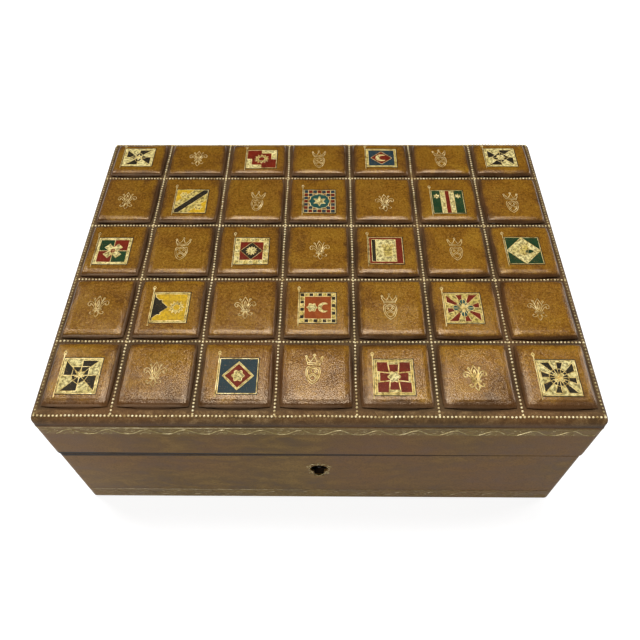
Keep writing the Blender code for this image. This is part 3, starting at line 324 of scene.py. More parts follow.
# %% Modelling helpers
def activate(piece):
    """Make a piece the only one selected."""
    bpy.ops.object.select_all(action="DESELECT")
    piece.select_set(True)
    bpy.context.view_layer.objects.active = piece


def keep_place(piece):
    """Move a piece's place, turn and scale into its mesh."""
    activate(piece)
    bpy.ops.object.transform_apply(location=True, rotation=True, scale=True)


def begin(name):
    """Name the primitive that was just added, and keep its place in its mesh."""
    piece = bpy.context.object
    piece.name = name
    keep_place(piece)
    return piece


def edit(piece):
    activate(piece)
    bpy.ops.object.mode_set(mode="EDIT")


def done():
    bpy.ops.object.mode_set(mode="OBJECT")


def pick(piece, kind, test):
    """In edit mode, select only the faces, edges or corners that pass a test."""
    bpy.ops.mesh.select_mode(type=kind)
    bpy.ops.mesh.select_all(action="DESELECT")
    shape = bmesh.from_edit_mesh(piece.data)
    for part in {"FACE": shape.faces, "EDGE": shape.edges, "VERT": shape.verts}[kind]:
        if test(part):
            part.select_set(True)
    bmesh.update_edit_mesh(piece.data)


def middle(edge):
    return (edge.verts[0].co + edge.verts[1].co) / 2


def cut_at(axis, places):
    """In edit mode, cut the whole piece by planes across X, Y or Z."""
    for place in places:
        bpy.ops.mesh.select_all(action="SELECT")
        point = [0, 0, 0]
        normal = [0, 0, 0]
        point["XYZ".index(axis)] = place
        normal["XYZ".index(axis)] = 1
        bpy.ops.mesh.bisect(plane_co=point, plane_no=normal)


def apply_all(piece):
    """Apply every modifier of a piece, in order."""
    activate(piece)
    for modifier in list(piece.modifiers):
        bpy.ops.object.modifier_apply(modifier=modifier.name)


def subdivide(piece, levels, kind="CATMULL_CLARK"):
    """Divide the faces, and smooth them unless the kind is simple."""
    flow = piece.modifiers.new("flow", "SUBSURF")
    flow.subdivision_type = kind
    flow.levels = levels
    flow.render_levels = levels
    apply_all(piece)


# %% [markdown]
# ## The moulded top
#
# On the real casket, wet leather is pressed over squares of wadding and drawn down between them, so
# each pad has straight sides, a steep shoulder, mitred corners and a nearly flat crown. The cap
# starts as a block without a bottom, whose edges are bevelled round. Cuts along the valleys mark out
# the pads, and each pad is inset several times. The first step goes down, for the narrow groove round
# its foot, and the others go up. Subdivision then turns those steps into one flowing shoulder. A
# sculpted plane could give the same look, but insets keep the corners mitred and every pad alike.

# %% Moulded top: the block and its cuts
middle_z = (valley_z + skirt_z) / 2
bpy.ops.mesh.primitive_cube_add(
    size=1, location=(0, 0, middle_z), scale=(2 * half_width, 2 * half_depth, valley_z - skirt_z))
cap = begin("moulded_top")
edit(cap)
pick(cap, "FACE", lambda face: face.normal.z < -0.5)
bpy.ops.mesh.delete(type="FACE")
pick(cap, "EDGE", lambda edge: middle(edge).z > skirt_z + hair)
bpy.ops.mesh.bevel(offset=edge_rounding - hair, segments=4, profile=0.5)

foot_xs = []
for left, right in zip(valley_xs, valley_xs[1:]):
    foot_xs.append((left + valley_half, right - valley_half))
foot_ys = []
for row, (front, back) in enumerate(zip(valley_ys, valley_ys[1:])):
    foot_ys.append((front + (front_strip if row == 0 else front_valley_half), back - valley_half))
cut_at("X", [x for pair in foot_xs for x in pair])
cut_at("Y", [y for pair in foot_ys for y in pair])


def on_pad(face):
    """Whether a face is one of the 35 squares that become pads."""
    spot = face.calc_center_median()
    across = any(left < spot.x < right for left, right in foot_xs)
    along = any(front < spot.y < back for front, back in foot_ys)
    return across and along and face.normal.z > 0.9


pick(cap, "FACE", on_pad)
print("pads:", sum(face.select for face in bmesh.from_edit_mesh(cap.data).faces))

# %% [markdown]
# The steps of the inset are the section of a pad, from its foot to its crown. They are close
# together where the leather bends, and far apart on the flat crown. The front row is flattened a
# little more at each of four lines, because there the leather rolls down to the front edge.

# %% Moulded top: shoulders and crowns
def raise_in_steps(steps):
    """In edit mode, inset each selected face again and again, each time a little higher."""
    for run, rise in steps:
        bpy.ops.mesh.inset(thickness=run, depth=rise, use_individual=True, use_even_offset=True)


pad_steps = (
    (0.0004, -0.00055), (0.0002, 0.00075), (0.0003, 0.00066), (0.0004, 0.00062), (0.0003, 0.00040),
    (0.0003, 0.00030), (0.0004, 0.00023), (0.0009, 0.00025), (0.0009, 0.00021), (0.0002, 0.00002),
    (0.0028, 0.00004), (0.0032, 0.00002),
)
raise_in_steps(pad_steps)


def on_mitre(edge):
    """Whether an edge runs slantwise on a pad, from corner to corner of two insets."""
    way = edge.verts[1].co - edge.verts[0].co
    slant = min(abs(way.x), abs(way.y)) > 0.6 * max(abs(way.x), abs(way.y))
    return slant and middle(edge).z > valley_z


pick(cap, "EDGE", on_mitre)
bpy.ops.transform.edge_crease(value=0.80)
cut_at("X", [(left + right) / 2 for left, right in foot_xs])
cut_at("Y", [(front + back) / 2 for front, back in foot_ys])
crown_z = valley_z + sum(rise for run, rise in pad_steps)
front_foot = foot_ys[0][0]
for distance, share in front_sinks:
    line_y = front_foot + distance + hair
    pick(cap, "VERT", lambda corner: corner.co.z > valley_z + hair / 2 and corner.co.y < line_y)
    bpy.ops.transform.resize(
        value=(1, 1, share), orient_type="GLOBAL", center_override=(0, 0, valley_z))
shape = bmesh.from_edit_mesh(cap.data)
front_ridge = max(corner.co.z for corner in shape.verts if corner.co.y < front_foot + 0.004)
print("crowns at", round(crown_z * 1000, 2), "front ridge at", round(front_ridge * 1000, 2), "mm")
done()
subdivide(cap, 2)

# %% [markdown]
# Hand-moulded pads are never quite alike. A soft displacement, held to the raised leather by a
# vertex group, makes the crowns and ridges a little uneven. The leather then gets its thickness. Its
# inside is never seen closely, so a decimate modifier, held to the inner shell, thins it there.

# %% Moulded top: unevenness and thickness
def uneven(piece, name, size, strength, direction="NORMAL", mid_level=0.5, group=""):
    """Push a piece in and out by a soft cloud texture, as hand work is a little uneven."""
    push = piece.modifiers.new(name, "DISPLACE")
    push.texture = bpy.data.textures.new(name, "CLOUDS")
    push.texture.noise_scale = size
    push.texture.noise_depth = 1
    push.strength = strength
    push.direction = direction
    push.mid_level = mid_level
    push.vertex_group = group


full_above = 0.0015
leather_thickness = 0.0009
raised = cap.vertex_groups.new(name="raised")
for vertex in cap.data.vertices:
    share = (vertex.co.z - valley_z) / full_above
    if share > 0:
        raised.add([vertex.index], min(share, 1.0), "REPLACE")
uneven(cap, "broad_unevenness", 0.020, 0.0006, group="raised")
uneven(cap, "fine_unevenness", 0.007, 0.00020, group="raised")
cap.vertex_groups.new(name="inside")
thicken = cap.modifiers.new("thickness", "SOLIDIFY")
thicken.thickness = leather_thickness
thicken.offset = -1
thicken.shell_vertex_group = "inside"
plainer = cap.modifiers.new("plainer_inside", "DECIMATE")
plainer.vertex_group = "inside"
plainer.ratio = 0.64
apply_all(cap)
cap.data.calc_loop_triangles()
print("moulded top has", len(cap.data.loop_triangles), "triangles")

# %% [markdown]
# ## Tooled leather
#
# The top's calf leather is amber where it was rubbed over the pads and dull brown in the valleys. The
# slope and valley colours are darkened further as painted shade, and the amber is painted lighter
# towards the front right, as painted light. The amber follows the height above the valley, as rubbing
# does, and clouds of broad noise mottle it. A painted map could show the same, but it would have to
# be fitted to every pad.

# %% Tooled leather: worn high, dull low
tooled_leather, net = new_material("tooled_leather")
coords = net.coords()
x, y, z = net.axes(coords)
clouds = net.noise(coords, 75, 5, 0.62, 0.6)
height = net.calc("SUBTRACT", z, valley_z)
ragged = net.span(clouds, 0.25, 0.75, -0.0005, 0.0005)
rubbed = net.span(net.calc("ADD", height, ragged), 0.0019, 0.0028)
raised = net.span(height, 0.0001, 0.0006)
amber = net.ramp(clouds, (0.30, (0.140, 0.055, 0.004)), (0.48, (0.195, 0.085, 0.006)),
                 (0.68, (0.250, 0.126, 0.010)))
# Painted light: the amber grows lighter towards the front right, where the light fell brighter.
painted_light_gradient = net.span(net.calc("SUBTRACT", net.times(x, 0.6), y), -0.10, 0.13)
amber = net.mix(painted_light_gradient, amber, net.mix(1.0, amber, (1.40, 1.38, 1.5), "MULTIPLY"))
# The slopes and valleys are dull brown leather, painted darker still as painted shade.
slope = net.ramp(clouds, (0.34, (0.060, 0.027, 0.010)), (0.66, (0.130, 0.066, 0.028)))
valley = net.ramp(clouds, (0.34, (0.036, 0.019, 0.007)), (0.66, (0.088, 0.050, 0.018)))
leather = net.mix(rubbed, net.mix(raised, valley, slope), amber)

# %% [markdown]
# The rim beyond the pads is scuffed by handling. Painted shade blackens the grooves, where shadow
# falls: the groove round each pad, deepest at the front, the foot of the front row, and the groove
# under the edge.

# %% Tooled leather: scuffs and painted shade
past_sides = net.calc("SUBTRACT", net.calc("ABSOLUTE", x), foot_xs[-1][1])
past_front = net.calc("SUBTRACT", front_foot, y)
past_back = net.calc("SUBTRACT", y, foot_ys[-1][1])
past_pads = net.calc("MAXIMUM", past_sides, net.calc("MAXIMUM", past_front, past_back))
scuffs = net.noise(coords, 210, 5, 0.7, 0.8)
handled = net.ramp(scuffs, (0.36, (0.050, 0.024, 0.007)), (0.50, (0.140, 0.075, 0.024)),
                   (0.64, (0.290, 0.180, 0.075)))
leather = net.mix(net.span(past_pads, 0.0, 0.0006, 0.0, 0.75), leather, handled)
# Painted shade: near black in the groove round each pad, at the foot of the front row and under the
# edge.
sunk = net.span(height, -0.00024, -0.00004, 1.0, 0.0)
at_pads = net.span(past_pads, 0.0001, 0.0004, 1.0, 0.0)
deepest = net.span(y, front_foot + 0.0006, front_foot + 0.0020, 0.95, 0.50)
grooves = net.times(net.times(sunk, at_pads), deepest)
low_slope = net.times(net.span(height, 0.00003, 0.00012), net.span(height, 0.0005, 0.0011, 1.0, 0.0))
under_front = net.times(low_slope, net.span(y, front_foot + 0.0006, front_foot + 0.0014, 0.9, 0.0))
under_edge = net.span(height, -0.0042, -0.0026, 0.85, 0.0)
painted_groove_shade = net.calc("MAXIMUM", grooves, net.calc("MAXIMUM", under_front, under_edge))
leather = net.mix(painted_groove_shade, leather, (0.012, 0.005, 0.002))

# %% [markdown]
# Close up, the leather has fine pebbles, dark pores and small light and dark flecks. One noise gives
# them in both colour and bump, so that they belong together. The grain is stronger towards the front,
# where the casket is handled most.

# %% Tooled leather: grain and gloss
patches = net.noise(coords, 19, 2, 0.5)
flecks = net.noise(coords, 900, 4, 0.7)
pebbles = net.pebbles(coords, 1300)
stronger = net.span(y, 0.070, -0.065, 0.55, 1.08)
leather = net.mix(net.span(patches, 0.47, 0.72, 0, 0.5), leather, (0.150, 0.055, 0.012))
bright_flecks = net.times(net.span(flecks, 0.50, 0.64, 0, 0.60), rubbed)
bright_flecks = net.times(bright_flecks, net.calc("MINIMUM", stronger, 1.0))
leather = net.mix(bright_flecks, leather, (0.38, 0.20, 0.022))
leather = net.mix(net.span(flecks, 0.36, 0.48, 0.55, 0), leather, (0.060, 0.024, 0.003))
leather = net.mix(net.span(pebbles, 0.02, 0.22, 0.50, 0.0), leather, (0.040, 0.016, 0.003))
gloss = net.span(flecks, 0.3, 0.7, 0.16, 0.27)
dull = net.span(height, 0.0002, 0.0019, 0.50, 0.0)
wrinkled = net.bump(net.times(flecks, stronger), 0.22, 0.00030)
grained = net.bump(net.times(pebbles, stronger), 0.65, 0.00014, wrinkled)
net.surface(leather, net.calc("ADD", gloss, dull), grained, 0.46, (1.0, 0.78, 0.55))

# %% [markdown]
# A finished piece is shaded smooth, except across sharp edges, and gets its material. Then it is
# mounted: it rides on the body that carries it.

# %% Mounting a piece
def finish(piece, material, body, angle=40):
    """Shade, colour and mount a finished piece."""
    if material is not None:
        piece.data.materials.clear()
        piece.data.materials.append(material)
    activate(piece)
    bpy.ops.object.shade_smooth_by_angle(angle=math.radians(angle))
    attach(piece, body)
    print(piece.name, len(piece.data.polygons), "faces")


finish(cap, tooled_leather, "lid", 60)
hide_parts("lid_top_leather")

# %% [markdown]
# ## Side leather
#
# The sides are plainer: a dull grey-brown calf with soft patches, drawn out a little along the side,
# and a fine grain. Gold dust has stayed in the grain along the gilt bands, and the sides grow lighter
# towards the left end. A map unwrapped on each side could carry all this, but the patches then break
# at the corners, where solid noise runs through.

# %% Side leather: colour
side_leather, net = new_material("side_leather")
coords = net.coords()
x, y, z = net.axes(coords)
patches = net.noise(net.stretched(coords, (0.7, 0.7, 1.3)), 105, 5, 0.62, 0.5)
broad = net.noise(coords, 14, 2, 0.5)
grain = net.noise(coords, 1300, 2, 0.5)
sides = net.ramp(patches, (0.36, (0.097, 0.050, 0.008)), (0.50, (0.155, 0.086, 0.015)),
                 (0.64, (0.232, 0.141, 0.038)))
sides = net.mix(net.span(broad, 0.42, 0.66, 0, 0.6), sides, (0.180, 0.082, 0.030))
sides = net.mix(net.span(grain, 0.35, 0.5, 0.45, 0.0), sides, (0.040, 0.020, 0.008))
soft_edge = 0.0004
dusted_bands = ((valley_z - 0.0138, valley_z - 0.0074, 0.30), (0.0030, 0.0124, 0.16))
for low, high, strength in dusted_bands:
    above_low = net.span(z, low - soft_edge, low + soft_edge)
    below_high = net.span(z, high - soft_edge, high + soft_edge, strength, 0.0)
    sides = net.mix(net.times(above_low, below_high), sides, (0.300, 0.230, 0.090))
# The sides are mixed towards a lighter tone towards the left end.
lightened = net.span(net.calc("ADD", x, net.times(broad, 0.06)), -0.095, -0.045, 0.40, 0.0)
sides = net.mix(lightened, sides, (0.245, 0.150, 0.085))

# %% [markdown]
# Painted shade marks the gap between the lid and the base: on the outer faces it draws one dark
# line, as the shadow in the gap. It widens towards the front left corner, where the lid sits a little
# open.

# %% Side leather: the parting line
# Painted shade: a near-black line along the parting, for the shadow in the gap.
off_parting = net.calc("ABSOLUTE", net.calc("SUBTRACT", z, parting_z))
from_corner = net.calc("ADD", x, net.times(y, 2.0))
gaping = net.span(from_corner, -0.30, -0.05, 0.0021, -0.0002)
gap_shade = net.span(net.calc("SUBTRACT", off_parting, gaping), 0.0005, 0.0011, 1.0, 0.0)
upright = net.span(net.calc("ABSOLUTE", net.axes(net.coords("Normal"))[2]), 0.5, 0.9, 1.0, 0.0)
sides = net.mix(net.times(gap_shade, upright), sides, (0.007, 0.003, 0.001))
calf_tint = (1.0, 0.85, 0.66)
gloss = net.span(patches, 0.3, 0.7, 0.44, 0.58)
net.surface(sides, gloss, net.bump(grain, 0.35, 0.00025), 0.10, calf_tint)


def dress(node_names, material):
    """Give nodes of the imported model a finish."""
    for name in node_names:
        mesh = frame["nodes"][name].data
        mesh.materials.clear()
        mesh.materials.append(material)


dress(("base_leather", "lid_side_leather"), side_leather)

# %% [markdown]
# ## Gilding
#
# The dots, outlines and ornaments are gold leaf, pressed on with heated tools. The gold is rubbed
# thin in places, where the leather shows through.

# %% Gilding
def gilt_material(name, worn, plain, bright, metallic):
    """Gold in three tones, by how much of it is left."""
    material, net = new_material(name)
    wear = net.noise(net.coords(), 420, 4, 0.6)
    gold = net.ramp(wear, (0.36, worn), (0.5, plain), (0.7, bright))
    net.surface(gold, net.span(wear, 0.3, 0.7, 0.5, 0.3))
    net.set("Metallic", metallic)
    return material


gilding, flag_gilding, worn_gilding, faint_gilding, band_gilding, dull_gilding = [
    gilt_material(*tones) for tones in (
        ("gilding", (0.36, 0.24, 0.08), (0.80, 0.65, 0.34), (0.95, 0.86, 0.56), 0.30),
        ("flag_gilding", (0.34, 0.22, 0.05), (0.80, 0.60, 0.22), (0.95, 0.82, 0.44), 0.30),
        ("worn_gilding", (0.26, 0.16, 0.04), (0.62, 0.47, 0.19), (0.92, 0.78, 0.42), 0.35),
        ("faint_gilding", (0.12, 0.075, 0.025), (0.24, 0.175, 0.065), (0.38, 0.30, 0.13), 0.1),
        ("band_gilding", (0.28, 0.20, 0.07), (0.52, 0.41, 0.16), (0.82, 0.70, 0.38), 0.2),
        ("dull_gilding", (0.24, 0.17, 0.06), (0.40, 0.31, 0.12), (0.62, 0.52, 0.25), 0.15))]

# %% [markdown]
# ## Dots in the valleys
#
# A dotted wheel, rolled along each valley, leaves a line of small raised beads. One bead is a
# flattened ball. An array repeats it along each line, and a gentle displacement of the whole line
# makes it waver as a hand-rolled one does. Along the left and right edges the beads are smaller and
# duller, because the rim there is rubbed.

# %% Gilt dots
dot_pitch = 0.00172
dot_radius = 0.00056


def repeat(piece, count, step):
    """Repeat a piece along a straight line."""
    array = piece.modifiers.new("repeat", "ARRAY")
    array.count = count
    array.use_relative_offset = False
    array.use_constant_offset = True
    array.constant_offset_displace = step
    apply_all(piece)


def join(pieces, name):
    """Join pieces into the first one."""
    activate(pieces[0])
    for piece in pieces[1:]:
        piece.select_set(True)
    if len(pieces) > 1:
        bpy.ops.object.join()
    pieces[0].name = name
    return pieces[0]


def row_of_dots(start, end, radius=dot_radius):
    """One line of beads from a start to an end."""
    way = Vector(end) - Vector(start)
    count = round(way.length / dot_pitch)
    bpy.ops.mesh.primitive_uv_sphere_add(
        segments=8, ring_count=4, radius=radius, location=start, scale=(1, 1, 0.75))
    line = begin("dots")
    repeat(line, count + 1, way / count)
    return line


def upright_row(x, radius=dot_radius):
    front = valley_ys[0] + dot_pitch / 2
    back = valley_ys[-1] - dot_pitch / 2
    return row_of_dots((x, front, valley_z), (x, back, valley_z), radius)


def waver(dots, gold):
    """Let the joined lines of dots waver a little, and gild them."""
    for direction in ("X", "Y"):
        uneven(dots, "waver_" + direction, 0.016, 0.0007, direction)
    apply_all(dots)
    finish(dots, gold, "lid", 60)


dot_rows = [row_of_dots((valley_xs[0], y, valley_z), (valley_xs[-1], y, valley_z)) for y in valley_ys]
dot_rows += [upright_row(x) for x in valley_xs[1:-1]]
waver(join(dot_rows, "gilt_dots"), gilding)
side_rows = [upright_row(x, 0.8 * dot_radius) for x in (valley_xs[0], valley_xs[-1])]
waver(join(side_rows, "worn_side_dots"), dull_gilding)

# %% [markdown]
# ## Gilt lines on the pads
#
# The ornaments are drawn as lines. A line is a row of points joined by edges. Shrinkwrap lays it on
# the moulded top, it becomes a curve with a round section, and then a mesh again. The ornaments are
# a lily and a crowned shield, both old patterns of the bookbinder's trade.

# %% Line helpers
longest_edge = 0.0007


def flowing(points, steps=5):
    """More points along a smooth path through the given ones."""
    path = []
    closed = points[0] == points[-1]
    count = len(points)
    for index in range(count - 1):
        before = points[index - 1] if index > 0 else (points[-2] if closed else points[0])
        after = points[index + 2] if index + 2 < count else (points[1] if closed else points[-1])
        here, there = points[index], points[index + 1]
        for step in range(steps):
            t = step / steps
            point = []
            for a, b, c, d in zip(before, here, there, after):
                bend = 2 * a - 5 * b + 4 * c - d
                twist = 3 * b - a - 3 * c + d
                point.append(0.5 * (2 * b + (c - a) * t + bend * t * t + twist * t ** 3))
            path.append(tuple(point))
    path.append(tuple(points[-1]))
    return path


def wire(name, lines):
    """A piece made only of edges, through rows of points."""
    corners = []
    edges = []
    for line in lines:
        start = len(corners)
        corners.extend(line)
        edges.extend((start + index, start + index + 1) for index in range(len(line) - 1))
    mesh = bpy.data.meshes.new(name)
    mesh.from_pydata([tuple(corner) for corner in corners], edges, [])
    piece = bpy.data.objects.new(name, mesh)
    bpy.context.scene.collection.objects.link(piece)
    return piece


def divide_long_lines(piece):
    """Divide the long straight lines, so that they can follow a curved surface."""
    edit(piece)
    pick(piece, "EDGE", lambda edge: edge.calc_length() > longest_edge)
    bpy.ops.mesh.subdivide(number_cuts=5)
    done()


def press_on_top(piece, downwards, gap=0.0, group=""):
    """Move a piece's corners straight down or straight up onto the moulded top."""
    press = piece.modifiers.new("press", "SHRINKWRAP")
    press.target = cap
    press.wrap_method = "PROJECT"
    press.use_project_z = True
    press.use_negative_direction = downwards
    press.use_positive_direction = not downwards
    press.offset = gap
    press.vertex_group = group


def lay_on_top(piece, lift):
    """Lower a flat piece onto the moulded top, and keep it a hair above the leather."""
    press_on_top(piece, True, lift)
    apply_all(piece)


def gild(piece, radius, gold, roundness=0):
    """Turn a piece of edges into round gilt lines."""
    activate(piece)
    bpy.ops.object.convert(target="CURVE")
    piece.data.bevel_depth = radius
    piece.data.bevel_resolution = roundness
    piece.data.use_fill_caps = True
    bpy.ops.object.convert(target="MESH")
    piece.data.materials.clear()
    piece.data.materials.append(gold)


# %% [markdown]
# The pads are counted as the photograph shows them: columns from the left, rows from the back.

# %% Places of the pads
above = valley_z + 0.02


def pad_middle(column, row):
    """Middle of a pad, by its column and its row, both counted from 1."""
    left, right = foot_xs[column - 1]
    front, back = foot_ys[rows - row]
    return (left + right) / 2, (front + back) / 2


# %% [markdown]
# The lines are given in millimetres for the right half of each ornament, and mirrored.

# %% Shapes of the two ornaments
lily_half = [
    flowing([(0, 6.6), (0.9, 4.9), (1.6, 3.2), (1.3, 1.2), (0.4, -0.8)]),
    flowing([(0, 4.4), (0.4, 3.0), (0.3, 1.2), (0, 0)]),
    flowing([(0.6, -0.9), (1.4, 1.0), (2.6, 2.9), (4.1, 3.5),
             (5.0, 2.5), (4.7, 1.2), (3.7, 1.1), (3.6, 1.9)]),
    flowing([(1.2, -0.9), (2.1, 0.7), (3.2, 2.0), (3.9, 2.3)]),
    flowing([(0.5, 0.6), (1.7, 3.2), (2.3, 4.9)]),
    flowing([(0.7, -2.0), (1.4, -3.5), (2.7, -4.0), (3.3, -3.1), (2.5, -2.7)]),
    flowing([(0, -5.9), (0.9, -4.4), (0.8, -3.2), (0.2, -2.0)]),
    [(0, -1.1), (2.0, -1.1)], [(0, -1.8), (2.0, -1.8)], [(2.0, -1.1), (2.0, -1.8)],
    flowing([(2.0, 5.0), (2.4, 5.5), (2.8, 5.1), (2.4, 4.7), (2.0, 5.0)], 3),
]
shield_width, shield_height = 0.92, 1.12
shield_half = [
    flowing([(0, -6.4), (2.0, -5.0), (3.2, -2.6), (3.4, -0.4), (2.7, 1.0), (1.3, 0.8), (0, 1.3)]),
    flowing([(0, -5.3), (1.5, -4.2), (2.5, -2.2), (2.6, -0.5), (1.9, 0.2), (0, 0.4)]),
    [(0, -1.6), (1.9, -2.9)], [(0, -2.4), (1.7, -3.6)],
    flowing([(0.7, -0.8), (1.2, -0.3), (1.7, -0.8), (1.2, -1.3), (0.7, -0.8)], 3),
    [(0, 2.1), (3.0, 2.1)], [(0, 2.9), (3.1, 2.9)], [(3.0, 2.1), (3.1, 2.9)],
    flowing([(3.1, 2.9), (3.9, 4.2), (3.7, 5.4), (2.6, 4.2), (1.6, 3.5), (0.9, 4.4), (0, 6.0)]),
    flowing([(0, 6.0), (0.5, 6.5), (0, 7.0)], 3),
    flowing([(3.4, 5.6), (3.9, 6.1), (4.3, 5.6), (3.8, 5.2), (3.4, 5.6)], 3),
]


def both_halves(half):
    return half + [[(-x, y) for x, y in line] for line in half]


tall_shield = [[(x * shield_width, y * shield_height) for x, y in line] for line in shield_half]
ornaments = {"lily": both_halves(lily_half), "crowned_shield": both_halves(tall_shield)}
ornament_cells = {
    "lily": {(2, 1): (0.3, -0.9), (1, 2): (-0.4, -2.6), (5, 2): (0.8, -3.9), (4, 3): (1.0, -1.4),
             (1, 4): (-0.4, -0.6), (3, 4): (1.0, -1.1), (7, 4): (-0.4, -1.6), (2, 5): (-1.0, -1.4),
             (6, 5): (-0.5, -2.6)},
    "crowned_shield": {(4, 1): (0.0, -1.2), (6, 1): (-0.4, -0.5), (3, 2): (1.8, -2.6),
                       (7, 2): (-0.4, -3.5), (2, 3): (0.6, -0.6), (6, 3): (0.0, -0.4),
                       (5, 4): (-0.6, 0.0), (4, 5): (-1.4, 1.6)},
}

# %% [markdown]
# Each ornament is set by hand, so it is a little turned and off the middle, and the tool was hotter
# and pressed harder on a few pads. Those lines are bolder and brighter.

# %% Ornaments on their pads
millimetre = 0.001
line_radius = 0.00015
ornament_lift = 0.00002
boldness = {(6, 5): 1.7, (4, 5): 1.4, (5, 4): 1.15, (3, 4): 1.1}
hand = random.Random(5)
for kind, cells in ornament_cells.items():
    for (column, row), (shift_x, shift_y) in cells.items():
        x, y = pad_middle(column, row)
        lines = [[(u * millimetre, v * millimetre, 0) for u, v in line] for line in ornaments[kind]]
        ornament = wire("%s_%d_%d" % (kind, column, row), lines)
        ornament.rotation_euler.z = math.radians(hand.uniform(-4, 4))
        ornament.location = (x + shift_x * millimetre, y + shift_y * millimetre, above)
        keep_place(ornament)
        divide_long_lines(ornament)
        lay_on_top(ornament, ornament_lift)
        bold = boldness.get((column, row), 0.95)
        gild(ornament, line_radius * bold, flag_gilding if bold > 1.3 else worn_gilding)
        finish(ornament, None, "lid", 80)

# %% [markdown]
# ## Painted flags
#
# The flags are painted in enamel-like colours inside gilt outlines. Each one starts as a square
# panel. Straight cuts divide it, every face is painted by its place, and a gilt line is drawn along
# each edge where two colours meet. The designs are plain geometry of the old heraldic kind: quarters,
# rays, chequers, stripes and frames, with a star, a rosette, a lozenge or a leaf laid on.

# %% Paints
def paint(name, colour, other, mottled=0.0):
    """A flat paint, slightly cloudy and rubbed. Gold and cream are mottled with dark hollows too."""
    material, net = new_material("paint_" + name)
    coords = net.coords()
    cloud = net.noise(coords, 260, 4, 0.6)
    speck = net.noise(coords, 1900, 3, 0.6)
    body = net.mix(net.span(cloud, 0.35, 0.7), colour, other)
    rubbed = net.mix(net.span(speck, 0.60, 0.72, 0, 0.6), body, (0.30, 0.17, 0.06))
    tooled = net.noise(coords, 760, 3, 0.7)
    hollows = net.span(tooled, 0.44, 0.54, mottled, 0.0)
    body = net.mix(hollows, rubbed, (0.070, 0.045, 0.008))
    gloss = net.span(cloud, 0.3, 0.7, 0.38, 0.52)
    net.surface(body, gloss, net.bump(tooled, 0.45, 0.00025), 0.12, calf_tint)
    return material


paints = {
    "black": paint("black", (0.008, 0.007, 0.005), (0.022, 0.018, 0.010)),
    "cream": paint("cream", (0.74, 0.64, 0.30), (0.50, 0.40, 0.13), 0.75),
    "red": paint("red", (0.150, 0.012, 0.004), (0.085, 0.007, 0.003)),
    "orange": paint("orange", (0.250, 0.050, 0.006), (0.170, 0.030, 0.005)),
    "blue": paint("blue", (0.010, 0.024, 0.032), (0.015, 0.036, 0.044)),
    "green": paint("green", (0.006, 0.026, 0.009), (0.012, 0.042, 0.014)),
    "teal": paint("teal", (0.007, 0.046, 0.040), (0.012, 0.064, 0.052)),
    "yellow": paint("yellow", (0.580, 0.350, 0.012), (0.400, 0.240, 0.020), 0.35),
    "gold": paint("gold", (0.400, 0.300, 0.060), (0.640, 0.500, 0.170), 0.80),
}

# %% [markdown]
# A pattern is a list of cuts and a rule. A cut is an angle and an offset across the panel, whose
# sides run from -1 to 1. The rule names the paint for a place on the panel. Where a pattern is only
# one paint, its name is enough.

# %% Patterns
def as_pattern(given):
    """A pattern, or a plain field when only a paint is given."""
    return ([], lambda u, v: given) if isinstance(given, str) else given


def quarters(first, second):
    return [(0, 0), (90, 0)], lambda u, v: first if u * v > 0 else second


def rays(first, second, count):
    """Rays from the middle, in turn of two paints."""
    step = 180 / count
    cuts = [(90 + step * index, 0) for index in range(count)]
    return cuts, lambda u, v: first if int(math.degrees(math.atan2(v, u)) % 360 / step) % 2 else second


def stripes(order, angle):
    """Stripes of equal width across an angle, in the order of their paints."""
    turn = math.radians(angle)
    reach = abs(math.cos(turn)) + abs(math.sin(turn))
    width = 2 * reach / len(order)
    cuts = [(angle, -reach + width * index) for index in range(1, len(order))]

    def rule(u, v):
        place = int((u * math.cos(turn) + v * math.sin(turn) + reach) / width)
        return order[min(max(place, 0), len(order) - 1)]
    return cuts, rule


def chequers(first, second, count):
    width = 2 / count
    offsets = [-1 + width * index for index in range(1, count)]
    cuts = [(angle, offset) for angle in (0, 90) for offset in offsets]
    return cuts, lambda u, v: first if (int((u + 1) / width) + int((v + 1) / width)) % 2 else second


def framed(width, frame, field):
    """One pattern along the edges and another inside."""
    frame, field = as_pattern(frame), as_pattern(field)
    edge = 1 - width
    cuts = [(0, -edge), (0, edge), (90, -edge), (90, edge)] + frame[0] + field[0]
    return cuts, lambda u, v: (frame if max(abs(u), abs(v)) > edge else field)[1](u, v)


def side_triangle(colour, pattern, depth):
    """A triangle that stands on the left edge and points to the right, on another pattern."""
    angle = math.degrees(math.atan2(depth, 1))
    length = math.hypot(depth, 1)
    reach = (depth - 1) / length
    cuts = pattern[0] + [(90 - angle, reach), (angle - 90, reach)]
    return cuts, lambda u, v: colour if u + abs(v) * depth < depth - 1 else pattern[1](u, v)


def lozenge_field(corner, colour):
    """A lozenge of one paint, with four corners of another."""
    cuts = [(angle, math.sqrt(0.5)) for angle in (45, 135, 225, 315)]
    return cuts, lambda u, v: corner if abs(u) + abs(v) > 1 else colour


# %% [markdown]
# A charge is a small figure laid on the field. Its outline is a ring of corners in a square from -1
# to 1. Round ones and stars come from a rule, and most of the others are a half that is mirrored.

# %% Outlines of the charges
def round_outline(count, waviness=0.0, lobes=0):
    outline = []
    for index in range(count):
        angle = 2 * math.pi * index / count
        radius = 1 - waviness + waviness * math.cos(lobes * angle)
        outline.append((radius * math.cos(angle), radius * math.sin(angle)))
    return outline


def star_outline(points, inner):
    outline = []
    for index in range(2 * points):
        radius = inner if index % 2 else 1
        angle = math.pi / 2 + math.pi * index / points
        outline.append((radius * math.cos(angle), radius * math.sin(angle)))
    return outline


def arc(radius, start, end, step, shift=0.0):
    angles = [math.radians(angle) for angle in range(start, end, step)]
    return [(shift + radius * math.cos(angle), radius * math.sin(angle)) for angle in angles]


def mirrored(half):
    return half + [(-x, y) for x, y in reversed(half)]


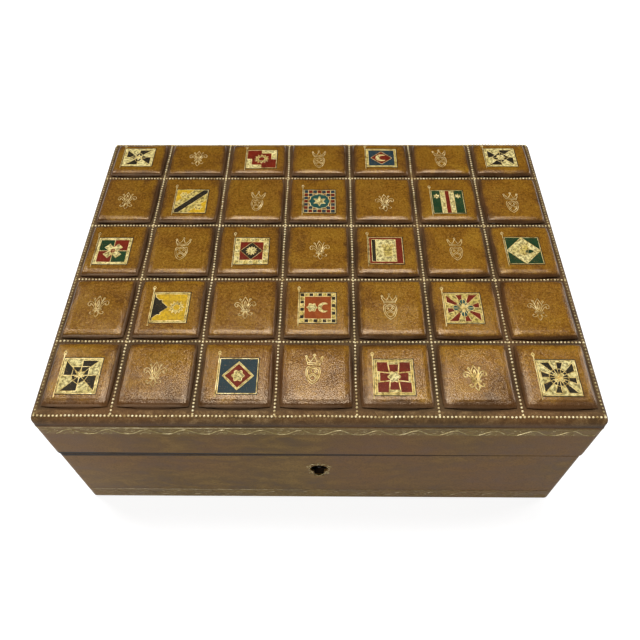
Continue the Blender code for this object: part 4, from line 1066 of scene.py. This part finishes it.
charge_outlines = {
    "disc": round_outline(20),
    "lozenge": round_outline(4),
    "star": star_outline(6, 0.48),
    "sun": star_outline(12, 0.62),
    "rosette": round_outline(36, 0.14, 6),
    "quatrefoil": round_outline(32, 0.2, 4),
    "cross": [(0.28, 0.28), (0.36, 1), (-0.36, 1), (-0.28, 0.28), (-1, 0.36), (-1, -0.36),
              (-0.28, -0.28), (-0.36, -1), (0.36, -1), (0.28, -0.28), (1, -0.36), (1, 0.36)],
    "shield": mirrored([(0, -1), (0.6, -0.6), (0.85, -0.1), (0.85, 1)])[1:],
    "tower": mirrored([(0.55, -1), (0.55, 0.4), (0.8, 0.55), (0.8, 1),
                       (0.4, 1), (0.4, 0.7), (0.2, 0.7), (0.2, 1)]),
    "leaf": mirrored([(0, -1), (0.3, -0.6), (0.45, -0.1), (0.35, 0.45), (0, 1)])[1:-1],
    "crescent": arc(1, 50, 311, 20) + arc(0.72, 290, 69, -20, 0.3),
}

# %% [markdown]
# Each flag is a pattern and its charges. A charge is its outline, its paint and its size, and its
# place and its turn in degrees where it isn't in the middle or upright.

# %% Designs of the flags
eighths = rays("black", "cream", 4)
flags = {
    (1, 1): (framed(0.16, "cream", eighths),
             [("quatrefoil", "black", 0.52), ("star", "cream", 0.32)]),
    (3, 1): (framed(0.34, quarters("cream", "red"), "red"),
             [("sun", "gold", 0.50), ("disc", "red", 0.22)]),
    (5, 1): (framed(0.12, "gold", "blue"),
             [("lozenge", "red", 0.72), ("crescent", "cream", 0.38)]),
    (7, 1): (framed(0.16, "cream", eighths),
             [("lozenge", "black", 0.60), ("rosette", "cream", 0.30)]),
    (2, 2): (stripes(("yellow", "yellow", "gold", "black", "gold", "yellow", "yellow"), 135),
             [("rosette", "gold", 0.26, -0.52, 0.52), ("rosette", "gold", 0.26, 0.52, -0.52)]),
    (4, 2): (framed(0.42, chequers("red", "blue", 7), "blue"),
             [("disc", "teal", 0.66), ("star", "cream", 0.44)]),
    (6, 2): (stripes(("green", "green", "cream", "red", "cream", "green", "green"), 0),
             [("star", "cream", 0.2, -0.68, 0.5), ("star", "cream", 0.2, 0.68, 0.5)]),
    (1, 3): (framed(0.14, "cream", quarters("red", "green")),
             [("cross", "cream", 0.56, 0, 0, 45), ("disc", "red", 0.16)]),
    (3, 3): (framed(0.30, chequers("cream", "gold", 7), "red"),
             [("lozenge", "black", 0.66), ("sun", "cream", 0.34)]),
    (5, 3): (framed(0.16, "red", stripes(("black", "cream", "cream", "cream", "red"), 0)),
             [("tower", "gold", 0.46, 0.12, 0)]),
    (7, 3): (lozenge_field("green", "cream"),
             [("leaf", "gold", 0.60, 0, 0.02, -28), ("leaf", "green", 0.34, 0.3, -0.1, -80)]),
    (2, 4): (side_triangle("black", framed(0.10, "gold", "yellow"), 0.9),
             [("sun", "gold", 0.44, 0.36, 0), ("disc", "yellow", 0.2, 0.36, 0)]),
    (4, 4): (framed(0.24, chequers("black", "gold", 8), "orange"),
             [("rosette", "cream", 0.30, -0.32, 0), ("crescent", "cream", 0.32, 0.34, 0)]),
    (6, 4): (framed(0.10, "gold", rays("gold", "red", 8)),
             [("quatrefoil", "teal", 0.60), ("star", "cream", 0.34)]),
    (1, 5): (framed(0.12, "cream", eighths),
             [("shield", "black", 0.50), ("star", "cream", 0.30, 0, 0.06)]),
    (3, 5): (framed(0.10, "blue", "blue"),
             [("lozenge", "cream", 0.82), ("lozenge", "red", 0.70), ("rosette", "cream", 0.34)]),
    (5, 5): (framed(0.12, "gold", "red"),
             [("cross", "cream", 0.86), ("cross", "red", 0.74), ("rosette", "cream", 0.34)]),
    (7, 5): (framed(0.12, "cream", rays("black", "cream", 8)),
             [("disc", "black", 0.50), ("cross", "cream", 0.30, 0, 0, 45)]),
}
flag_half = 0.0086
short_flag_half = 0.0075
flag_shifts = {
    (1, 1): (-0.5, 0.6), (3, 1): (2.0, -0.9), (5, 1): (0.8, 0.0), (7, 1): (-0.5, 0.5),
    (2, 2): (0.8, -2.4), (4, 2): (0.5, -2.5), (6, 2): (0.0, -2.8), (1, 3): (-0.5, -1.8),
    (3, 3): (1.3, -1.6), (5, 3): (-0.5, -1.2), (7, 3): (-0.5, -1.1), (2, 4): (0.3, -0.6),
    (4, 4): (0.3, -0.6), (6, 4): (-1.0, -0.6), (1, 5): (0.0, -1.8), (3, 5): (0.7, -1.6),
    (5, 5): (-1.0, -2.0), (7, 5): (1.0, -2.0),
}
fold_lines = [(angle, offset) for angle in (0, 90) for offset in (-0.5, 0, 0.5)]

# %% [markdown]
# The fold lines, and a simple subdivision of every layer, only let the flat panels follow the pad's
# swelling.

# %% Steps of making a flag
def cut(piece, lines):
    """Cut a flat piece along lines, each given by its angle and its offset from the middle."""
    edit(piece)
    for angle, offset in lines:
        bpy.ops.mesh.select_all(action="SELECT")
        normal = (math.cos(math.radians(angle)), math.sin(math.radians(angle)), 0)
        bpy.ops.mesh.bisect(plane_co=[part * offset for part in normal], plane_no=normal)
    done()


def colour_faces(piece, rule):
    """Paint each face by the place of its middle."""
    order = []
    piece.data.materials.clear()
    for face in piece.data.polygons:
        colour = rule(face.center.x, face.center.y)
        if colour not in order:
            order.append(colour)
            piece.data.materials.append(paints[colour])
        face.material_index = order.index(colour)


def between_colours(edge):
    """Whether an edge is at the rim of its piece or between two paints."""
    faces = edge.link_faces
    return len(faces) == 1 or faces[0].material_index != faces[1].material_index


def trace_colours(piece):
    """A copy of only the edges between colours."""
    activate(piece)
    bpy.ops.object.duplicate()
    lines = bpy.context.object
    edit(lines)
    pick(lines, "EDGE", lambda edge: not between_colours(edge))
    bpy.ops.mesh.delete(type="EDGE")
    bpy.ops.mesh.select_all(action="SELECT")
    bpy.ops.mesh.delete(type="ONLY_FACE")
    done()
    return lines


def charge_piece(outline, colour, size, place_u=0, place_v=0, turn=0):
    """A flat charge: a circle whose corners are moved to an outline."""
    points = charge_outlines[outline]
    bpy.ops.mesh.primitive_circle_add(vertices=len(points), radius=1, fill_type="NGON")
    piece = begin("charge")
    for corner, (u, v) in zip(piece.data.vertices, points):
        corner.co = (u, v, 0)
    edit(piece)
    bpy.ops.mesh.select_all(action="SELECT")
    bpy.ops.mesh.quads_convert_to_tris()
    done()
    place = Matrix.Translation((place_u, place_v, 0))
    piece.matrix_world = place @ Matrix.Rotation(math.radians(turn), 4, "Z") @ Matrix.Scale(size, 4)
    keep_place(piece)
    colour_faces(piece, lambda u, v: colour)
    return piece


# %% [markdown]
# Every layer of a flag is moved to its pad and laid on the leather, each a hair above the last. The
# lowest is a black ground, a little larger, which shows as a dark rim: partly darkened leather round
# the tooling, and partly a painted shadow along the flag's edge. The pole at the left edge is a gilt
# line with a small finial.

# %% Flags on their pads
ground_size = 2.14
ground_lift = 0.00001
layer_lift = 0.00003
pole_lines = [
    [(-1.08, 1.28, 0), (-1.08, -1.22, 0)],
    [(-1.16, 1.35, 0), (-1.08, 1.28, 0), (-1.00, 1.35, 0), (-1.08, 1.46, 0), (-1.16, 1.35, 0)],
    [(-1.16, 1.26, 0), (-1.00, 1.26, 0)],
]


def put_on_pad(piece, column, row):
    x, y = pad_middle(column, row)
    shift_x, shift_y = flag_shifts[(column, row)]
    piece.scale = (flag_half, short_flag_half if row == 1 else flag_half, 1)
    piece.location = (x + shift_x * millimetre, y + shift_y * millimetre, above)
    keep_place(piece)


def sheet_of_paint(size, cuts, rule):
    """A square sheet, cut along lines and painted by a rule."""
    bpy.ops.mesh.primitive_plane_add(size=size)
    piece = begin("sheet")
    cut(piece, cuts + fold_lines)
    colour_faces(piece, rule)
    return piece


def make_flag(column, row, pattern, charges):
    bold = row > 3
    # The black ground's rim is partly a painted shadow along the flag's edge.
    ground = sheet_of_paint(ground_size, [], lambda u, v: "black")
    subdivide(ground, 2, "SIMPLE")
    put_on_pad(ground, column, row)
    lay_on_top(ground, ground_lift)
    parts = [ground]
    layers = [sheet_of_paint(2, *pattern)] + [charge_piece(*charge) for charge in charges]
    for level, layer in enumerate(layers):
        subdivide(layer, 2, "SIMPLE")
        lines = trace_colours(layer)
        for piece in (layer, lines):
            put_on_pad(piece, column, row)
            lay_on_top(piece, layer_lift * (level + 1))
        gild(lines, line_radius * (1.3 if bold else 1.0) * (1 if level == 0 else 0.8), flag_gilding)
        parts.extend((layer, lines))
    pole = wire("pole", pole_lines)
    put_on_pad(pole, column, row)
    divide_long_lines(pole)
    lay_on_top(pole, layer_lift)
    gild(pole, line_radius * (1.6 if bold else 1.2), flag_gilding if bold else worn_gilding)
    flag = join(parts + [pole], "flag_%d_%d" % (column, row))
    finish(flag, None, "lid", 30)


for (column, row), (pattern, charges) in flags.items():
    make_flag(column, row, pattern, charges)

# %% [markdown]
# ## Gilt bands on the sides
#
# A straight line runs round the lid under the moulded top, with a wavy scroll below it. A fainter
# band runs round the foot of the base, between two lines. One wave of the scroll is drawn, a bold
# stem and thin sprigs. An array repeats it along each side, and it is turned to face outwards. An
# image of the band would be quicker, but these lines stand proud and catch the light.

# %% Gilt bands
lid_side_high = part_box("lid_side_leather")[1]
base_low, base_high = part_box("base_leather")
corner_radius = 0.0030
band_radius = 0.00024
lid_line_z = valley_z - 0.0073
lid_scroll_z = valley_z - 0.0084
foot_lines_z = (0.0030, 0.0128)
foot_scroll_z = 0.0106


def ring_line(half_x, half_y, height):
    """Points of a level line round a box with round corners."""
    points = []
    for quarter, (sign_x, sign_y) in enumerate(((1, 1), (-1, 1), (-1, -1), (1, -1))):
        for step in range(5):
            angle = (quarter + step / 4) * math.pi / 2
            points.append((
                sign_x * (half_x - corner_radius) + corner_radius * math.cos(angle),
                sign_y * (half_y - corner_radius) + corner_radius * math.sin(angle), height))
    return points + points[:1]


stem = [
    flowing([(5.0, -0.4), (6.4, -1.5), (8.2, -3.1), (10.2, -4.4), (12.4, -4.9), (14.8, -4.7)], 5),
    flowing([(-2.2, -4.7), (-0.4, -3.5), (1.2, -2.0), (3.0, -0.9), (5.0, -0.4)], 5),
]
sprigs = [
    flowing([(-7.6, -0.6), (-5.6, -1.0), (-3.6, -2.2), (-1.8, -2.4),
             (-0.6, -1.4), (-1.4, -0.7), (-2.2, -1.3)], 4),
    flowing([(-6.6, -4.6), (-5.2, -3.4), (-4.0, -2.9)], 3),
    flowing([(1.2, -4.8), (2.6, -3.6), (4.2, -3.4), (5.6, -4.2), (5.0, -5.0), (4.2, -4.6)], 3),
    flowing([(3.4, -2.2), (4.6, -2.8), (6.0, -3.0)], 3),
    flowing([(-4.6, -0.6), (-4.1, -0.2), (-3.6, -0.6), (-4.1, -1.0), (-4.6, -0.6)], 2),
    flowing([(0.6, -5.0), (1.1, -4.6), (1.6, -5.0), (1.1, -5.4), (0.6, -5.0)], 2),
]
wave_pitch = 0.017
start_shift = 0.0035
corner_room = 0.0058


def scroll_strip(pattern, half_length, outward, turn, top):
    """A scroll along one side, at a distance outward from the middle, turned to face that way."""
    count = round(2 * half_length / wave_pitch)
    pitch = 2 * half_length / count
    stretch = pitch / wave_pitch
    lines = [[(px * millimetre * stretch, 0, py * millimetre) for px, py in line] for line in pattern]
    strip = wire("strip", lines)
    repeat(strip, count, (pitch, 0, 0))
    place = Matrix.Translation((pitch / 2 - half_length - start_shift, -outward, top))
    strip.matrix_world = Matrix.Rotation(math.radians(turn), 4, "Z") @ place
    keep_place(strip)
    return strip


def gilt_band(name, half_x, half_y, line_heights, scroll_top, body, radius, gold, stem_gold):
    """Level lines round the casket, and a scroll on each of its four sides."""
    rings = wire("rings", [ring_line(half_x, half_y, height) for height in line_heights])
    gild(rings, radius * 0.8, gold)
    pieces = [rings]
    for turn in (0, 90, 180, 270):
        along, outward = (half_y, half_x) if turn % 180 else (half_x, half_y)
        for pattern, thickness, leaf in ((stem, radius, stem_gold), (sprigs, radius / 2.4, gold)):
            strip = scroll_strip(pattern, along - corner_room, outward, turn, scroll_top)
            gild(strip, thickness, leaf)
            pieces.append(strip)
    finish(join(pieces, name), None, body, 80)


gilt_band("lid_gilt_band", lid_side_high[0], lid_side_high[1], (lid_line_z,), lid_scroll_z,
          "lid", band_radius, dull_gilding, band_gilding)
gilt_band("base_gilt_band", base_high[0], base_high[1], foot_lines_z, foot_scroll_z,
          "root", band_radius * 0.8, faint_gilding, faint_gilding)

# %% [markdown]
# ## The keyhole's surround
#
# A keyhole in leather is framed by a tooled cartouche, to hide its cut edge. It is drawn as the right
# half of an outline with two small scrolls, in millimetres from the middle of the keyhole, and
# mirrored. It lies on the base, so it rides on the base's body.

# %% Keyhole surround
keyhole_z = 0.0425
surround_half = [
    flowing([(0, 6.6), (1.6, 5.8), (2.8, 6.6), (4.7, 6.0), (5.6, 4.2), (4.9, 2.8), (5.6, 1.2),
             (6.3, -0.8), (5.6, -2.8), (4.0, -4.2), (3.9, -6.2), (2.4, -7.6), (1.0, -9.2), (0, -9.6)]),
    flowing([(4.9, 2.8), (6.4, 4.0), (7.4, 3.2), (6.8, 2.1), (6.1, 2.7)]),
    flowing([(4.0, -4.2), (5.4, -5.0), (5.9, -6.2), (5.0, -6.6), (4.8, -5.8)]),
    flowing([(0, 8.6), (0.7, 7.9), (0, 7.2), (-0.7, 7.9), (0, 8.6)], 3),
]
surround_width = 0.82 * millimetre
surround_height = 0.92 * millimetre
surround_lines = [
    [(x * surround_width, base_low[1], keyhole_z + y * surround_height) for x, y in line]
    for line in both_halves(surround_half)]
surround = wire("keyhole_surround", surround_lines)
gild(surround, band_radius * 0.8, dull_gilding)
finish(surround, None, "root", 80)

# %% [markdown]
# ## Brass, steel and wood
#
# The hinges, lock plate and screws are old brass, gone brown in the hollows. The bolt and the spring
# are blackened steel, and what shows through the keyhole is iron painted near black, as painted shade
# inside the keyhole. Their patina is a cloudy noise that drives colour and roughness together, with
# fine scratches in the bump.

# %% Metals
def old_metal(name, dull, plain, bright, smooth, rough):
    """Metal in three tones, smooth where it is bright and rough where it is dull."""
    material, net = new_material(name)
    coords = net.coords()
    patina = net.noise(coords, 240, 5, 0.65, 0.4)
    scratches = net.noise(net.stretched(coords, (0.15, 1, 1)), 3500, 2, 0.6)
    colour = net.ramp(patina, (0.34, dull), (0.5, plain), (0.68, bright))
    net.surface(colour, net.span(patina, 0.32, 0.68, rough, smooth), net.bump(scratches, 0.25, 0.00003))
    net.set("Metallic", 1.0)
    return material


brass = old_metal("aged_brass", (0.16, 0.10, 0.04), (0.40, 0.27, 0.10), (0.58, 0.42, 0.18), 0.36, 0.62)
steel = old_metal("black_steel", (0.030, 0.022, 0.018), (0.060, 0.055, 0.050), (0.13, 0.125, 0.12),
                  0.30, 0.60)
# Painted shade: the lock case and pin seen through the keyhole are painted near black, for the shade
# inside.
keyhole_shade_metal = old_metal("keyhole_shade_iron", (0.006, 0.005, 0.004), (0.011, 0.009, 0.007), (0.022, 0.018, 0.014),
                 0.55, 0.85)
brass_nodes = [name for name in frame["nodes"] if "screw" in name or "hinge" in name]
dress(brass_nodes + ["lock_plate", "lock_bolt_stud", "lock_link_plate"], brass)
dress(("lock_bolt", "lock_spring"), steel)
dress(("lock_case", "lock_drill_pin"), keyhole_shade_metal)

# %% [markdown]
# The carcass is a plain brown wood. Its grain is a noise stretched along the board, with darker
# fibres from a finer one. Two versions run the grain along the long and the short boards. The wood
# round the keyhole is painted near black, as painted shade inside the keyhole.

# %% Wood
def carcass_wood(name, stretch):
    """Brown wood, stretched by a scale along each axis."""
    material, net = new_material(name)
    coords = net.coords()
    along = net.stretched(coords, stretch)
    figure = net.noise(along, 90, 5, 0.6, 1.2)
    fibres = net.noise(along, 1100, 3, 0.6)
    wood = net.ramp(figure, (0.35, (0.085, 0.042, 0.018)), (0.5, (0.150, 0.080, 0.036)),
                    (0.65, (0.220, 0.128, 0.062)))
    wood = net.mix(net.span(fibres, 0.35, 0.52, 0.5, 0.0), wood, (0.050, 0.024, 0.010))
    x, y, z = net.axes(coords)
    # Painted shade: the front board's wood round the keyhole is made near black.
    above_keyhole = net.calc("ABSOLUTE", net.calc("SUBTRACT", z, keyhole_z))
    away = net.calc("MAXIMUM", net.calc("ABSOLUTE", x), above_keyhole)
    keyhole_wood_shade = net.times(net.span(away, 0.008, 0.010, 1.0, 0.0), net.span(y, -0.080, -0.078, 1.0, 0.0))
    wood = net.mix(keyhole_wood_shade, wood, (0.004, 0.003, 0.002))
    net.surface(wood, net.span(figure, 0.3, 0.7, 0.62, 0.48), net.bump(fibres, 0.3, 0.00010), 0.3)
    return material


wood_lengthwise = carcass_wood("wood_lengthwise", (0.07, 1, 1))
wood_crosswise = carcass_wood("wood_crosswise", (1, 0.07, 1))
boards = [name for name in frame["nodes"] if name.endswith(("board", "rail"))]
dress([name for name in boards if "left" not in name and "right" not in name], wood_lengthwise)
dress([name for name in boards if "left" in name or "right" in name], wood_crosswise)

# %% [markdown]
# ## Suede, wadding and silk
#
# The underside is covered in suede, whose nap is a fine noise in colour and bump. The wadding is
# carded cotton, which is the same recipe in paler tones.

# %% Suede and wadding
def napped(name, dark, light, size, sheen):
    """A matt stuff with a nap, rubbed in places."""
    material, net = new_material(name)
    coords = net.coords()
    rubbed = net.noise(coords, 45, 4, 0.6)
    nap = net.noise(coords, size, 4, 0.75)
    shade = net.calc("ADD", net.times(rubbed, 0.5), net.times(nap, 0.5))
    colour = net.ramp(shade, (0.38, dark), (0.62, light))
    net.surface(colour, net.span(nap, 0.3, 0.7, 0.98, 0.86), net.bump(nap, 0.5, 0.0003), 0.1)
    net.set("Sheen Weight", sheen)
    return material


suede = napped("underside_suede", (0.050, 0.030, 0.018), (0.130, 0.085, 0.055), 1800, 0.25)
cotton = napped("cotton_wadding", (0.50, 0.45, 0.36), (0.72, 0.68, 0.58), 900, 0.10)
dress(["base_underside_cover"], suede)

# %% [markdown]
# The lining is a watered silk: fine ribs across it, and a wavy moire where they were pressed flat. A
# sine along one axis makes the ribs, and a noise shifts it, as the pressing did. Ribs in the mesh
# would need millions of faces.

# %% Watered silk
rib_pitch = 0.0009


def watered_silk(name, rib_axis):
    """Silk with fine ribs, which follow each other along one axis."""
    material, net = new_material(name)
    coords = net.coords()
    water = net.noise(net.stretched(coords, (0.5, 1, 1)), 62, 3, 0.55, 1.6)
    lightened = net.noise(coords, 11, 2, 0.5)
    threads = net.noise(coords, 4200, 2, 0.5)
    turns = net.times(net.axes(coords)["XYZ".index(rib_axis)], 2 * math.pi / rib_pitch)
    ribs = net.calc("SINE", net.calc("ADD", turns, net.times(water, 7.0)))
    silk = net.ramp(water, (0.36, (0.115, 0.012, 0.016)), (0.48, (0.190, 0.022, 0.026)),
                    (0.56, (0.280, 0.046, 0.046)), (0.66, (0.170, 0.018, 0.022)))
    silk = net.mix(net.span(ribs, -1.0, 0.2, 0.55, 0.0), silk, (0.055, 0.006, 0.009))
    silk = net.mix(net.span(threads, 0.40, 0.60, 0.25, 0.0), silk, (0.080, 0.008, 0.012))
    silk = net.mix(net.span(lightened, 0.50, 0.75, 0.0, 0.35), silk, (0.270, 0.110, 0.075))
    net.surface(silk, net.span(water, 0.35, 0.65, 0.40, 0.64), net.bump(ribs, 0.35, 0.00007), 0.22)
    net.set("Sheen Weight", 0.05)
    net.set("Sheen Roughness", 0.35)
    return material


silk_on_walls = watered_silk("watered_silk_walls", "Z")
silk_on_pads = watered_silk("watered_silk_pads", "Y")

# %% [markdown]
# ## The wadding under the top
#
# One flat sheet of wadding fills the lid under the valleys, with a block raised under each pad. It
# starts as a slab, cut a little inside the pads' feet. The squares are inset and raised in steps. A
# shrinkwrap then presses them up against the underside of the leather, and a small displacement
# lowers them again, for a hair of room.

# %% Wadding
def pad_slab(name, low, high, bottom, top):
    """A block over the plan of a CAD box, between two heights."""
    place = ((low[0] + high[0]) / 2, (low[1] + high[1]) / 2, (bottom + top) / 2)
    size = (high[0] - low[0], high[1] - low[1], top - bottom)
    bpy.ops.mesh.primitive_cube_add(size=1, location=place, scale=size)
    return begin(name)


wadding_low, wadding_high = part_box("lid_padding")
wadding_sheet_z = valley_z - 0.0014
wadding = pad_slab("wadding", wadding_low, wadding_high, wadding_low[2], wadding_sheet_z)
block_inset = 0.0012
room = 0.0003
edit(wadding)
for axis, feet in (("X", foot_xs), ("Y", foot_ys)):
    cut_at(axis, [place for pair in feet for place in (pair[0] + block_inset, pair[1] - block_inset)])
pick(wadding, "FACE", on_pad)
raise_in_steps(((0.0004, 0.0006), (0.0010, 0.0008), (0.0030, 0.0001), (0.0060, 0.0001)))
done()
subdivide(wadding, 2, "SIMPLE")
blocks = [v.index for v in wadding.data.vertices if v.co.z > wadding_sheet_z + 0.0004]
wadding.vertex_groups.new(name="pressed").add(blocks, 1.0, "REPLACE")
press_on_top(wadding, False, group="pressed")
sink = wadding.modifiers.new("sink", "DISPLACE")
sink.direction = "Z"
sink.mid_level = 0.0
sink.strength = -room
sink.vertex_group = "pressed"
apply_all(wadding)
print("wadding top at", round(max(v.co.z for v in wadding.data.vertices) * 1000, 2), "mm")
finish(wadding, cotton, "lid", 50)
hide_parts("lid_padding")

# %% [markdown]
# ## Quilted pads of the floor and the ceiling
#
# The photograph shows the casket closed, so its inside follows what such boxes have: thin silk pads,
# quilted in lozenges. Slanting cuts mark the stitching, and each lozenge is inset and raised to a
# puff, as the pads of the top were. They are too thin for a cloth simulation, whose voxels would be
# thicker than the pad, so subdivision gives the swelling.

# %% Quilted pads
quilt_steps = (
    (0.0005, 0.0006), (0.0009, 0.0005), (0.0014, 0.0004), (0.0020, 0.0002), (0.0026, 0.0001))
quilt_rise = sum(rise for run, rise in quilt_steps)


def quilt(piece, low, high, across, along, facing):
    """Cut a slab in lozenges, and raise each of them on the side that faces up or down."""
    width = (high[0] - low[0]) / across
    length = (high[1] - low[1]) / along
    edit(piece)
    for slant in (1, -1):
        for step in range(-across - along, across + along + 1):
            bpy.ops.mesh.select_all(action="SELECT")
            corner = (low[0] + width * step, low[1], 0)
            bpy.ops.mesh.bisect(plane_co=corner, plane_no=(1 / width, slant / length, 0))
    pick(piece, "FACE", lambda face: face.normal.z * facing > 0.9)
    raise_in_steps(quilt_steps)
    pick(piece, "EDGE", lambda edge: edge.calc_face_angle(0) > 1.2)
    bpy.ops.transform.edge_crease(value=0.8)
    pick(piece, "EDGE", lambda edge: 0.00005 < abs(edge.verts[0].co.z - edge.verts[1].co.z) < 0.0007)
    bpy.ops.transform.edge_crease(value=0.9)
    done()
    subdivide(piece, 2)


def silk_pad(name, node, facing, body):
    """A quilted pad in the box of a node, puffed up (1) or down (-1)."""
    low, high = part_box(node)
    thickness = high[2] - low[2] - quilt_rise - hair
    bottom = low[2] if facing > 0 else high[2] - thickness
    pad = pad_slab(name, low, high, bottom, bottom + thickness)
    quilt(pad, low, high, across=8, along=6, facing=facing)
    finish(pad, silk_on_pads, body, 60)
    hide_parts(node)


silk_pad("floor_pad", "base_floor_pad", 1, "root")
silk_pad("ceiling_pad", "lid_ceiling_pad", -1, "lid")

# %% [markdown]
# ## Silk on the walls
#
# The walls are lined with the same silk, glued down, with a cord along the open edge. The lining is
# a box without its top and bottom. Its corners are bevelled, it is cut fine enough to cockle a little,
# and it gets the thickness of silk on its paper.

# %% Wall linings
silk_thickness = 0.0006
cord_radius = 0.00055


def wall_lining(name, node, body, cord_at_top):
    """The lining of four walls in the box of a node, and the cord along its open edge."""
    low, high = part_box(node)
    lining = pad_slab(name, low, high, low[2], high[2])
    edit(lining)
    pick(lining, "FACE", lambda face: abs(face.normal.z) > 0.5)
    bpy.ops.mesh.delete(type="FACE")
    pick(lining, "EDGE", lambda edge: abs(edge.verts[0].co.z - edge.verts[1].co.z) > 0.01)
    bpy.ops.mesh.bevel(offset=0.0010, segments=3, profile=0.5)
    for axis, start, end, count in zip("XYZ", low, high, (24, 16, 5)):
        cut_at(axis, [start + (end - start) * step / count for step in range(1, count)])
    done()
    uneven(lining, "cockle", 0.012, -0.0003, mid_level=0.0)
    sheet = lining.modifiers.new("thickness", "SOLIDIFY")
    sheet.thickness = silk_thickness
    sheet.offset = -1
    apply_all(lining)
    height = high[2] - cord_radius if cord_at_top else low[2] + cord_radius
    cord = wire(name + "_cord", [ring_line(high[0] - silk_thickness, high[1] - silk_thickness, height)])
    gild(cord, cord_radius, silk_on_pads, 2)
    finish(cord, None, body, 60)
    finish(lining, silk_on_walls, body, 40)
    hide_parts(node)


wall_lining("base_silk", "base_lining", "root", True)
wall_lining("lid_silk", "lid_lining", "lid", False)
